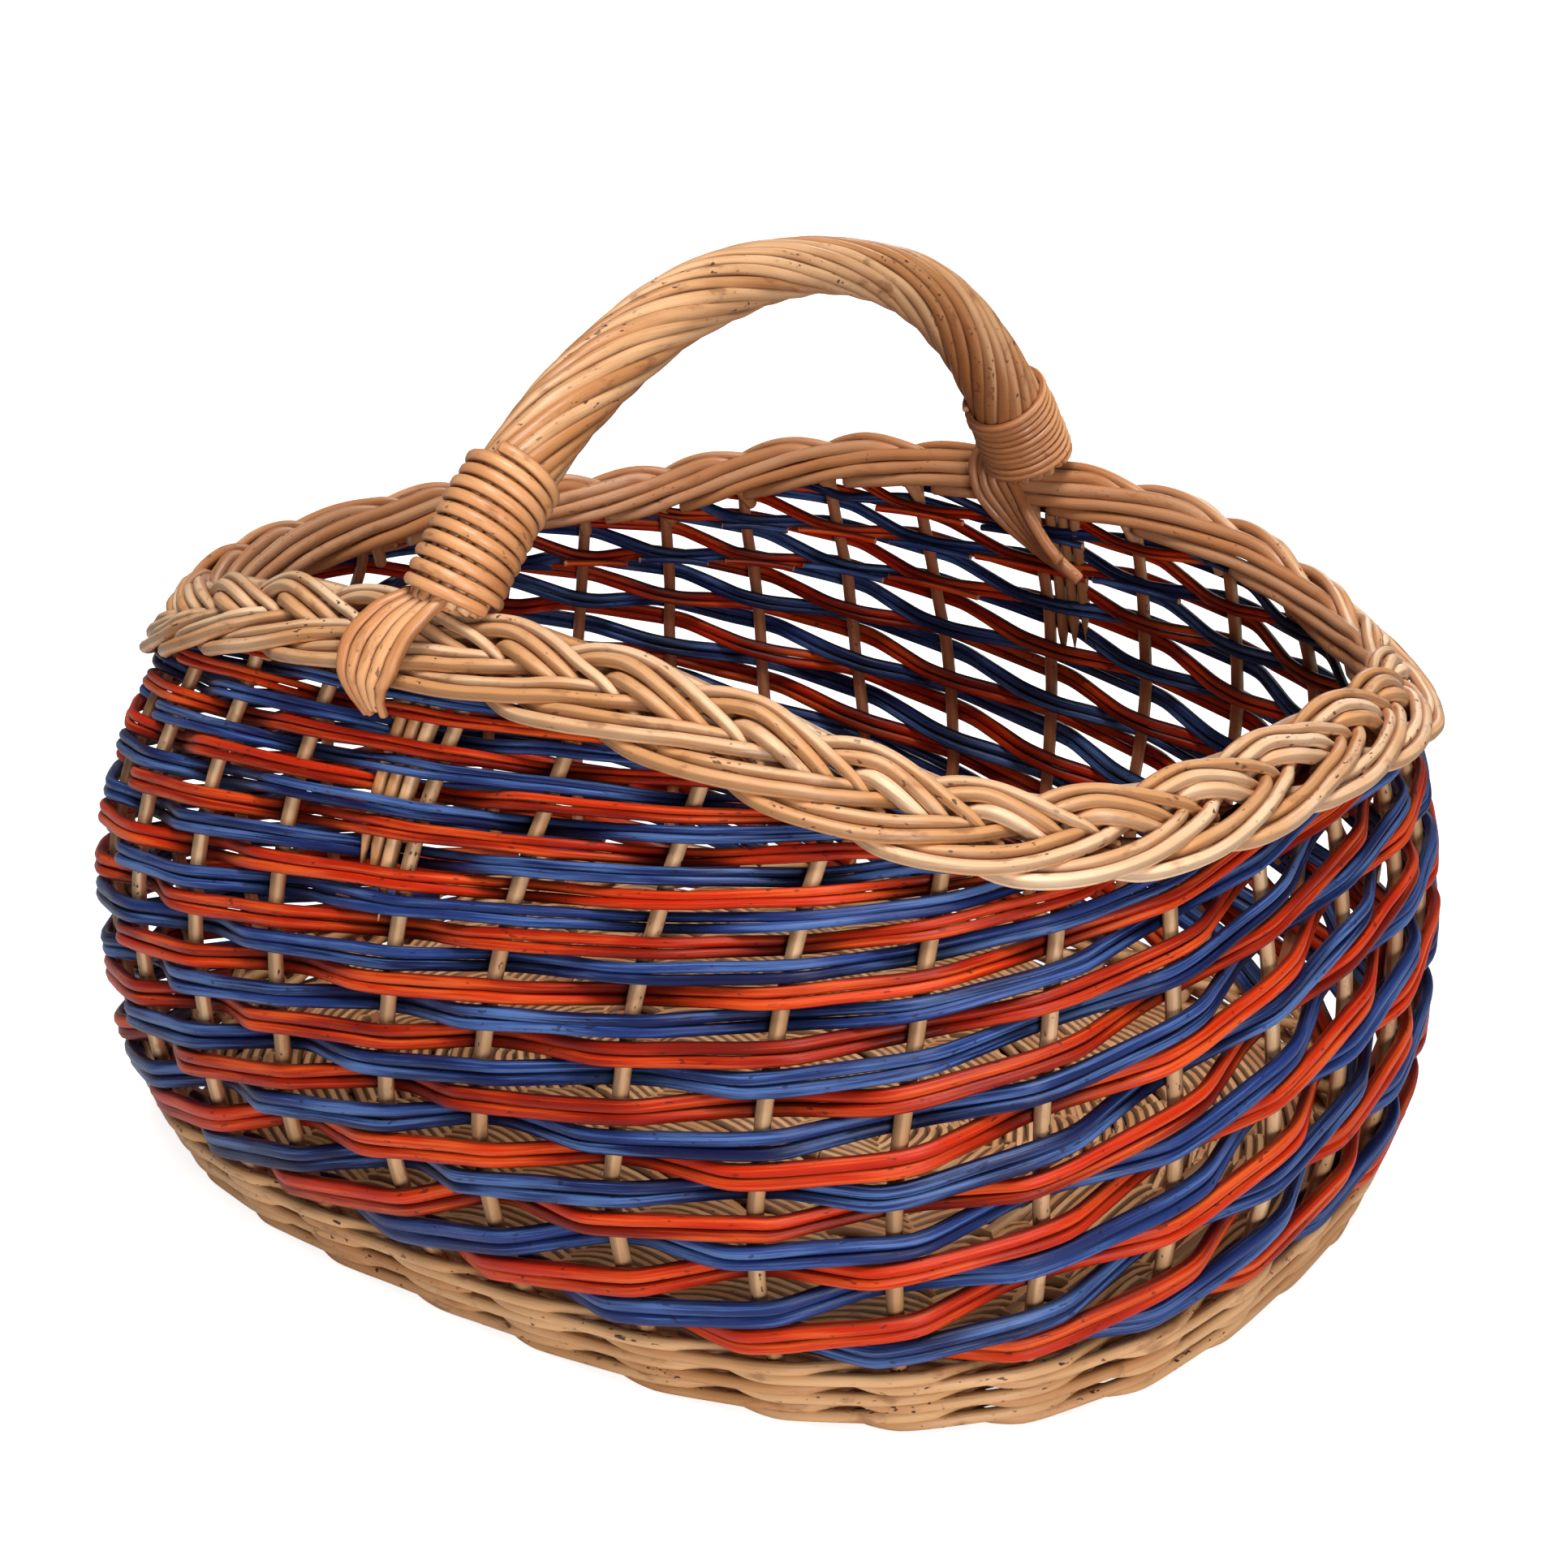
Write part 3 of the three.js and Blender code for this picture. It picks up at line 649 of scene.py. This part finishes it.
def dyed_willow(name, light, middle, dark, dyed_shade, streak, roughness):
    """Dyed willow: the dye lies unevenly, lighter on the fibres. Painted shade darkens the sides
    of each rod, where it lies against its neighbours, and more where it runs behind others.
    """
    material, shader, grain, tone, crown, cut = finish_of(name)
    shader.inputs["Specular IOR Level"].default_value = 0.2
    fibre = grain.scaled(1900, 38).noise(4, 0.65)
    strand = grain.scaled(700, 16).noise(2, 0.5)
    patch = grain.scaled(90, 20).noise(2, 0.5)
    body = (patch * 0.85 + strand * 0.3 + tone * 0.35 - 0.2).between(0.22, 0.7)
    colour = body.blend(dark, middle)
    lit = (patch * 0.45 + strand * 0.4 + fibre * 0.45).between(0.6, 0.8)
    colour = (lit * streak).blend(colour, light)
    dots = grain.scaled(560, 260).noise(1).between(0.68, 0.74)
    colour = (dots * 0.6).blend(colour, dyed_speck_colour)
    # Painted shade on the sides of each rod, where it lies against its neighbours, and deeper where
    # it runs behind others.
    colour = (crown.between(0.66, 0.12) * 0.92).blend(colour, dyed_shade)
    colour = cut.blend(colour, cut_colour)
    rough = fibre.between(0.3, 0.7, roughness - 0.07, roughness + 0.14)
    height = fibre * 0.7 + strand * 0.4 - dots * 0.4
    wear(shader, colour, rough, height, distance=0.00016)
    return material


# Each dyed finish has a painted shade colour for the sides of its rods.
red_finish = dyed_willow(
    "red_willow", light=paint(236, 112, 44), middle=paint(188, 36, 1), dark=paint(108, 14, 2),
    dyed_shade=paint(36, 4, 3), streak=0.5, roughness=0.38)
blue_finish = dyed_willow(
    "blue_willow", light=paint(112, 150, 210), middle=paint(32, 50, 108), dark=paint(17, 21, 60),
    dyed_shade=paint(6, 8, 25), streak=0.45, roughness=0.34)


def open_runs(start):
    """The runs of layers in which a weaver shows. It goes in under the border where that is
    low, and where the border rises again beside the handle it comes out once more."""
    layers = np.arange(weaver_start, most_layers, 0.05)
    levels = np.array([weaver_level(start + layer, layer + 0.5) for layer in layers])
    shows = levels + weaver_below_rim < rim_level(angle_at(arc_at(start + layers)))
    turns = np.flatnonzero(np.diff(shows.astype(int)))
    edges = [layers[0], *layers[turns + 1]]
    pairs = zip(edges[:-1:2], edges[1::2])
    return [(max(weaver_start, begin - 0.1), end) for begin, end in pairs]


def weaver_rods(start, begin, end):
    """The two rods of a weaver, one on the other, on straight runs between the uprights."""
    random = np.random.default_rng(5000 + start + 100 * int(begin + 1))
    places, outs, ups, heights, thicks, layers, sides = [], [], [], [], [], [], []
    for whole in range(max(0, int(begin) - 1), int(end) + 2):
        side = -1 if whole % 3 == 0 else 1
        for reach in (-weaver_reach, 0, weaver_reach):
            layer = whole + reach
            place, outward, upward, stretch = wall_frame(
                arc_at(np.array(start + layer)), np.array(weaver_level(start + layer, layer)))
            top = weaver_level(start + layer, layer + 0.5)
            height = (top - weaver_level(start + layer, layer - 0.5)) * stretch - layer_gap
            thick = min(mix(weaver_thick, weaver_thin, min(1, layer / thinnest_layer)), height)
            offset = (upright_radius + weaver_gap + thick / 2) * 1.02
            places.append(place + outward * offset * side)
            outs.append(outward)
            ups.append(upward)
            heights.append(height)
            thicks.append(thick)
            layers.append(layer)
            sides.append(side)
    layers = np.array(layers)
    fine = np.arange(begin, end, 1 / steps_per_layer)

    def spread(values):
        """Values given at the layers, or points, spread over the fine steps."""
        if np.ndim(values) == 1:
            return np.interp(fine, layers, values)
        return points_at(fine, layers, values)

    centre, outward, upward = spread(places), unit(spread(outs)), unit(spread(ups))
    height, thick = spread(heights), spread(thicks)
    # Painted shade: the rod is darkened where it runs behind an upright, on the inside of the wall.
    shade_behind = np.clip((0.5 - spread(sides)) / 1.5, 0, 1)
    run = run_of(centre)
    rods = []
    for lift in (-1, 1):
        stray = wander(run, 0.00035, 0.13, random)
        sway = wander(run, 0.0003, 0.09, random)
        rise = lift * height / 4 * 0.98 + stray
        path = rounded(centre + upward * rise[:, None] + outward * sway[:, None], 2)
        tall = height / 4 - 0.00002
        deep = thick / 2
        rods.append(bent_rod(path, tall, outward, deep, random=random, shade_behind=shade_behind))
    if begin < 0:
        last_behind = 3 * int((end - 0.4) / 3)
        rods.append(cut_tip(start, last_behind, random))
    return rods


def cut_tip(start, layer, random):
    """The tip of a rod, left inside behind an upright and cut off with a slant."""
    marks = layer + np.linspace(-0.5, random.uniform(0.24, 0.42), tip_steps)
    place, outward, upward, _ = wall_frame(
        arc_at(start + marks), np.array([weaver_level(start + mark, mark) for mark in marks]))
    lean = np.linspace(0, 1, tip_steps)[:, None]
    path = place - outward * (0.0066 + 0.003 * lean ** 2) - upward * 0.0015 * lean
    # The tip lies inside the wall, so it carries some painted shade.
    return bent_rod(path, tip_rod, outward, tip_depth, random=random, shade_behind=0.4)


for start in range(upright_count):
    is_red = start % 2 == 0
    node = f"{'red' if is_red else 'blue'}_weaver_{start // 2 + 1:02d}"
    finish = red_finish if is_red else blue_finish
    rods = []
    for begin, end in open_runs(start):
        if end - begin > shortest_run:
            rods += weaver_rods(start, begin, end)
    rod_piece(f"pair_{node}", rods, [node], finish)


# Border: a plait of four strands, made of the rods that the uprights end in. Each rod kinks
# over at its upright and crosses the band beside two older rods. It comes back over the
# inner edge twice, four uprights on each time, and is cut off under the band.
border_tilt = math.radians(38)
# Round the left-hand end, at an angle of the oval in radians, the rim is drawn in by a shift
# and the band stands up by a tilt.
left_end = 3.4
left_shift = np.array([0.0064, 0.0012, 0.0032])
left_shift_reach = 0.45
left_tilt = math.radians(22)
left_tilt_reach = 0.55
border_radii = (0.0025, 0.00245, 0.0019)
# The way of a rod across the band and out of its face, at marks counted in uprights: first the
# kink where it leaves the wall, then the plait.
kink_marks = (0, 0.035, 0.07)
kink_across = (0.0086, 0.004, -0.0015)
kink_height = (-0.011, -0.009, -0.0072)
border_marks = 0.10 + 0.14 * np.arange(68)
border_across = np.array([
    -5.5, -6.4, -4.3, -2.3, -0.4, 1.1, 3.8, 6.5, 8.6, 10.9, 13, 14.3,
    14.9, 15.1, 14.8, 14.1, 13.1, 12, 10.7, 9.2, 7.4, 5.7, 3.8, 2.2,
    -0.9, -3.1, -5.3, -7.5, -9.1, -9.6, -9.7, -8.5, -6.6, -4.6, -2.6, -0.5,
    2.5, 4.3, 6.4, 8.1, 9.5, 10.5, 10.5, 9.9, 9.1, 8.1, 6.8, 5.4,
    3.8, 2, -0.2, -2.8, -4.4, -6.4, -8.8, -10.9, -12.8, -13.7, -13.9, -13.4,
    -12.2, -10.5, -8.6, -6.4, -4.6, -2.6, 0.1, 2.4,
]) / 1000
border_height = np.array([
    -5, 0.7, 3.7, 4.3, 3.1, 0.4, -1.3, -2.2, -2.6, -2.4, -1.7, -0.3,
    0.9, 1.8, 2.3, 2.5, 2.7, 3, 3.1, 3.5, 3.5, 2.8, 2.3, 2,
    0.1, -1.6, -1.8, -0.3, 1.8, 3.6, 4.8, 4.9, 4.6, 3.9, 2.4, -0.8,
    -2.4, -2.5, -2.5, -2.3, -1.4, -0.3, 1.3, 2.6, 3.1, 3.2, 3.2, 3.3,
    3.8, 3.1, 1.4, -2.5, -2.6, -2.4, -1.6, -0.2, 1.1, 2.1, 3.1, 3.8,
    4.4, 4.7, 4.7, 4.2, 3.1, 2.1, -1.9, -2.8,
]) / 1000
# The border carries a painted shade colour on its inward faces.
border_finish = peeled_willow(
    "border_willow", pale=paint(240, 204, 166), middle=paint(202, 144, 92),
    dark=paint(130, 76, 42), speck=0.9, roughness=0.42, inward_shade=paint(176, 110, 66))


def rim_point(arc):
    """The middle of the border at a length along it."""
    angle = angle_at(arc)
    drawn = hump(np.mod(angle, 2 * np.pi), left_end, left_shift_reach)[..., None]
    return oval(*rim_oval, angle, rim_level(angle)) + rim_shift + drawn * left_shift


def rim_frame(arc):
    """Place, outward and upward direction of the rim, square to its run."""
    along = unit(rim_point(arc + 0.003) - rim_point(arc - 0.003))
    outward = unit(np.stack([along[..., 1], -along[..., 0], 0 * along[..., 0]], -1))
    return rim_point(arc), outward, np.cross(outward, along)


def band_frame(arc):
    """Place of the rim, the directions across the band and out of its face, and outward. The
    band leans out evenly, but stands up more round the left-hand end."""
    place, outward, upward = rim_frame(arc)
    standing = hump(np.mod(angle_at(arc), 2 * np.pi), left_end, left_tilt_reach)
    tilt = (border_tilt + left_tilt * standing)[:, None]
    sideways = outward * np.cos(tilt) - upward * np.sin(tilt)
    facing = outward * np.sin(tilt) + upward * np.cos(tilt)
    return place, sideways, facing, outward


def border_rod(index):
    """The rod of one upright, out of the wall's top and along the plait."""
    random = np.random.default_rng(6000 + index)
    marks = np.concatenate([kink_marks, border_marks])
    fine = np.linspace(0, marks[-1], 560)
    across = np.interp(fine, marks, np.concatenate([kink_across, border_across]))
    height = np.interp(fine, marks, np.concatenate([kink_height, border_height]))
    settled = np.clip(fine / 0.3, 0, 1)
    across = across + settled * wander(fine, 0.00035, 2.3, random)
    height = height + settled * wander(fine, 0.00022, 1.7, random)
    place, sideways, facing, _ = band_frame(arc_at(index + fine))
    path = place + sideways * across[:, None] + facing * height[:, None]
    path = even_path(path, 0.0022, 2)
    thick = np.interp(np.linspace(0, 1, len(path)), (0, 0.15, 1), border_radii)
    return bent_rod(path, thick * random.uniform(0.93, 1.04), (0, 0, 1), random=random)


inner_radius = 0.0026
inner_depth = 0.0021
inner_marks = (-0.02, 0.1, 0.35, 1, 2, 3, 3.5, 4)
inner_across = np.array([-10.2, -12.6, -13.8, -13.2, -10.4, -7, -3.6, 1.5]) / 1000
inner_height = np.array([-2, -0.6, 0.3, -2.6, -6.7, -10.6, -11.4, -9.6]) / 1000


def inner_rod(index):
    """A rod laid in along the inner face, from the inner edge slowly down to the weave."""
    random = np.random.default_rng(6200 + index)
    fine = np.linspace(inner_marks[0], inner_marks[-1] - random.uniform(0, 0.3), 110)
    across = np.interp(fine, inner_marks, inner_across) + wander(fine, 0.0003, 1.9, random)
    height = np.interp(fine, inner_marks, inner_height) + wander(fine, 0.0003, 1.4, random)
    place, sideways, facing, outward = band_frame(arc_at(index + fine))
    path = even_path(place + sideways * across[:, None] + facing * height[:, None], 0.003, 2)
    thick = inner_radius * random.uniform(0.9, 1.06)
    return bent_rod(path, thick, -outward[0], inner_depth, random=random)


border_rods = [border_rod(index) for index in range(upright_count)]
border_rods += [inner_rod(index) for index in range(upright_count)]
rod_piece("plaited_border", border_rods, ["border_plait"], border_finish)


# Handle: a bow of long rods roped round each other over a stout core. Its two feet stand inside
# the border. It is thinnest just past its crown, and the rods open a little at its far foot.
near_upright = 3 * quarter
far_upright = quarter
bow_near = -0.158
bow_far = 0.153
bow_rise = 0.0993
bow_fullness = 1.41
bow_shoulder = 0.0053
bow_lean = (-0.0036, 0.0172)
bow_thinning = 0.23
bow_flare = 0.003
rope_rods = 15
rope_core = 0.0074
rope_strand = 0.00195
rope_radius = 0.0112
rope_turns = -1.8
rope_end = 0.013
# The bow carries a painted shade colour on its faces towards the middle of the basket.
handle_finish = peeled_willow(
    "handle_willow", pale=paint(222, 174, 128), middle=paint(182, 122, 72),
    dark=paint(116, 64, 34), speck=0.9, roughness=0.38, inward_shade=paint(142, 82, 46))


def bow_point(share):
    """The middle line of the bow, from its near foot over to its far one, which has the fuller
    shoulder."""
    y = (bow_near + bow_far) / 2 - (bow_far - bow_near) / 2 * np.cos(np.pi * share)
    foot = mix(rim_level(-np.pi / 2), rim_level(np.pi / 2), share)
    z = foot + bow_rise * np.sin(np.pi * np.clip(share, 0, 1)) ** bow_fullness
    z = z + bow_shoulder * hump(share, 0.7, 0.12)
    return np.stack([mix(bow_lean[0], bow_lean[1], share), y, z], -1)


bow_shares = np.linspace(0, 1, 401)
bow_table = run_of(bow_point(bow_shares))
bow_length = bow_table[-1]


def bow_at(length):
    """Place and directions of the bow at a length from its near foot."""
    share = np.interp(length, bow_table, bow_shares)
    along = unit(bow_point(np.minimum(share + 0.004, 1)) - bow_point(np.maximum(share - 0.004, 0)))
    side = unit(np.array([1.0, 0, 0]) - along * along[..., :1])
    return bow_point(share), along, side, np.cross(side, along)


def bow_reach(length):
    """Radius of the bow: thin on its crown, stout on its legs, open at the far foot."""
    thin = bow_thinning * hump(length / bow_length, 0.57, 0.13)
    flare = bow_flare * np.exp(-(bow_length - length) / 0.06)
    return rope_radius * (1.1 - thin) + flare


rope_marks = np.linspace(rope_end, bow_length - rope_end, 150)
handle_random = np.random.default_rng(80)
place, along, side, over = bow_at(rope_marks)
share = (rope_marks - rope_marks[0]) / (rope_marks[-1] - rope_marks[0])
handle_rods = [bent_rod(place, rope_core, over, random=handle_random)]
for strand in range(rope_rods):
    turn = strand / rope_rods * 2 * np.pi + share * rope_turns * 2 * np.pi
    turn = turn + wander(rope_marks, 0.05, 0.12, handle_random)
    thick = rope_strand * handle_random.uniform(0.86, 1.16)
    reach = bow_reach(rope_marks) - thick + wander(rope_marks, 0.0004, 0.1, handle_random)
    path = place + side * (np.cos(turn) * reach)[:, None] + over * (np.sin(turn) * reach)[:, None]
    wide = thick * 1.08 * bow_reach(rope_marks) / rope_radius
    handle_rods.append(bent_rod(path, wide, path - place, thick, random=handle_random))
rod_piece("roped_bow", handle_rods, ["handle_rope"], handle_finish)


# Bindings: a split rod wound about ten times round each end of the bow, its turns close
# together. The near rod is the broad one, and the far rod is finer.
binding_gap = 0.0003
binding_lift = 0.0001
# The bindings and claws carry a painted shade colour on their inward faces.
binding_finish = peeled_willow(
    "binding_willow", pale=paint(224, 164, 112), middle=paint(190, 124, 74),
    dark=paint(136, 78, 42), speck=0.7, roughness=0.36, inward_shade=paint(158, 94, 56))
binding_random = np.random.default_rng(90)


def binding_rod(start, direction, width, turns, thickness):
    """The rod of one binding, from its foot up the bow."""
    steps = 28
    marks = np.arange(0, turns * steps + 1) / steps
    pitch = width + binding_gap
    length = start + direction * (marks + 0.5) * pitch
    place, along, side, over = bow_at(length)
    turn = marks * 2 * np.pi
    out = side * np.cos(turn)[:, None] + over * np.sin(turn)[:, None]
    reach = bow_reach(length) + thickness / 2 + binding_lift
    reach = reach + wander(marks, 0.0003, 1.3, binding_random)
    path = place + out * reach[:, None]
    return bent_rod(path, width / 2, out, thickness / 2, random=binding_random, sides=12)


near_start = 0.0130
far_start = bow_length - 0.0135
near_rod = binding_rod(near_start, 1, width=0.0041, turns=10.2, thickness=0.0034)
far_rod = binding_rod(far_start, -1, width=0.0027, turns=10.6, thickness=0.0028)
rod_piece("near_binding_rod", [near_rod], ["near_binding"], binding_finish)
rod_piece("far_binding_rod", [far_rod], ["far_binding"], binding_finish)


# Claws: five rods side by side that come out of each binding and clamp the bow to the
# border. The near ones hook over its outside, the far ones sweep down its inside.
claw_rod = 0.0027
claw_radii_apart = 1.95
claw_steps = 56
# Routes of the middle rod, in millimetres outward, upward and lengthways from the rim's middle.
near_claw_route = [
    (-5.8, 16.2, -6), (1.2, 15.7, -9.5), (10.1, 9.8, -15), (15.4, 1.9, -19), (18.4, -7.7, -21),
    (16.8, -14.4, -21), (13.6, -22.5, -19),
]
far_claw_route = [
    (-9, 18.5, -2), (-13.6, 15, -5), (-17.4, 9, -6), (-17.4, 0.7, -4), (-15.8, -10, 5),
    (-14, -22, 18), (-11.5, -32, 33),
]


def smooth_through(points, count):
    """A smooth path through a few points."""
    fine = np.linspace(0, len(points) - 1, count)
    return rounded(points_at(fine, np.arange(len(points)), points), count // 8)


def claw_rods(index, route, spread, seed):
    """Five rods beside each other along a route out of the foot of the bow. They thin out and
    draw together, or spread, by the three shares of their pitch at the start, middle and end."""
    random = np.random.default_rng(seed)
    place, outward, upward = rim_frame(np.array(index * upright_spacing))
    line = []
    for u, v, x in np.array(route) / 1000:
        line.append(place + outward * u + upward * v + np.array([x, 0, 0]))
    middle = smooth_through(line, claw_steps)
    along = unit(np.gradient(middle, axis=0))
    guide = unit((middle - place) * (0, 1, 1))
    across = unit(np.cross(along, guide))
    rods = []
    for lane in range(-2, 3):
        fan = np.interp(np.linspace(0, 1, len(middle)), (0, 0.55, 1), spread)
        path = middle + across * (lane * claw_rod * claw_radii_apart * fan)[:, None]
        cut = int(random.integers(0, 6))
        path = path[:len(path) - cut]
        thick = claw_rod * np.clip(fan[:len(path)], 0.55, 1)
        rods.append(bent_rod(path, thick, guide[:len(path)], random=random))
    return rods


near_claws = claw_rods(near_upright, near_claw_route, spread=(0.75, 0.9, 0.4), seed=31)
far_claws = claw_rods(far_upright, far_claw_route, spread=(0.72, 0.78, 0.95), seed=32)
rod_piece("near_claw_rods", near_claws, ["near_claw"], binding_finish)
rod_piece("far_claw_rods", far_claws, ["far_claw"], binding_finish)


# Ends of the bow: the rods of the handle run on down inside the weave beside the uprights
# that carry it, and each ends in a long slanting cut.
end_rod = 0.0023
end_depth = 0.0027
end_pitch = 0.0046
end_gap = 0.0004
end_below_rim = 0.004
end_length = 0.076
end_length_step = 0.006
end_cut = 0.016
end_steps = 28


def bow_end_rods(index, seed):
    """Three rods on the left of an upright, seen from outside, each shorter than the last."""
    random = np.random.default_rng(seed)
    arc = arc_at(np.array(float(index)))
    top = rim_level(angle_at(arc)) - end_below_rim
    rods = []
    for lane in range(3):
        shift = upright_radius + end_gap + end_rod + lane * end_pitch
        levels = np.linspace(top, top - end_length + lane * end_length_step, end_steps)
        place, outward, _, _ = wall_frame(np.full(end_steps, arc - shift), levels)
        rods.append(bent_rod(place, end_rod, outward, end_depth, random=random, point=end_cut))
    return rods


near_ends = bow_end_rods(near_upright, 41)
far_ends = bow_end_rods(far_upright, 42)
rod_piece("near_bow_tips", near_ends, ["near_bow_end"], handle_finish)
rod_piece("far_bow_tips", far_ends, ["far_bow_end"], handle_finish)


# Studio: a white floor that keeps the basket's shadow, a white surround, a broad soft lamp
# overhead, one low on the right and a weak one behind, which keeps the back from going dark.
floor_colour = (0.8, 0.8, 0.8, 1)
white_colour = (1, 1, 1, 1)
haze_start = 0.5
haze_end = 1.5
sky_strength = 0.1
lamp_target = np.array([0, 0, 0.12])
bpy.ops.mesh.primitive_plane_add(size=12, location=(0, 0, 0))
floor = bpy.context.object
floor.name = "floor"
floor_finish = bpy.data.materials.new("floor_white")
floor_finish.use_nodes = True
floor_tree = floor_finish.node_tree
floor_shader = floor_tree.nodes["Principled BSDF"]
floor_shader.inputs["Base Color"].default_value = floor_colour
floor_shader.inputs["Roughness"].default_value = 0.9
floor_shader.inputs["Specular IOR Level"].default_value = 0
rays = Shade(floor_tree).node("ShaderNodeLightPath")
spot = rays.node("ShaderNodeTexCoord", {}, {}, 3)
away = spot.node("ShaderNodeVectorMath", {"operation": "LENGTH"}, {0: spot}, 1)
haze = away.between(haze_start, haze_end).blend(floor_colour, white_colour)
glow = rays.node("ShaderNodeEmission", {}, {"Color": haze, "Strength": 1.0})
dark = rays.node("ShaderNodeEmission", {}, {"Color": (0, 0, 0, 1), "Strength": 0})
seen = rays.node("ShaderNodeMixShader", {}, {0: rays, 1: dark, 2: glow})
plain = Shade(floor_tree, floor_shader.outputs[0])
both = rays.node("ShaderNodeAddShader", {}, {0: plain, 1: seen})
floor_tree.links.new(both.socket, floor_tree.nodes["Material Output"].inputs["Surface"])
floor.data.materials.append(floor_finish)

world = bpy.data.worlds.new("studio")
bpy.context.scene.world = world
world.use_nodes = True
sky = Shade(world.node_tree)
rays = sky.node("ShaderNodeLightPath")
soft = sky.node("ShaderNodeBackground", {}, {"Color": white_colour, "Strength": sky_strength})
white = sky.node("ShaderNodeBackground", {}, {"Color": white_colour, "Strength": 1.0})
world_mix = sky.node("ShaderNodeMixShader", {}, {0: rays, 1: soft, 2: white})
world.node_tree.links.new(world_mix.socket, world.node_tree.nodes["World Output"].inputs["Surface"])


def soft_lamp(name, place, size, power):
    """A square lamp that faces the middle of the basket."""
    bpy.ops.object.light_add(type="AREA", location=place)
    lamp = bpy.context.object
    lamp.name = name
    lamp.data.size = size
    lamp.data.energy = power
    towards = unit(np.array(place) - lamp_target)
    side = unit(np.cross([0, 0, 1], towards))
    rise = np.cross(towards, side)
    rows = [(side[i], rise[i], towards[i], place[i]) for i in range(3)]
    lamp.matrix_world = Matrix([*rows, (0, 0, 0, 1)])


soft_lamp("top_lamp", (0.5, -0.7, 2.1), size=1.0, power=45)
soft_lamp("side_lamp", (1.9, -1.5, 0.45), size=0.7, power=32)
soft_lamp("back_lamp", (-0.6, 2.1, 1.1), size=0.9, power=10)
bpy.context.scene.view_settings.view_transform = "Standard"
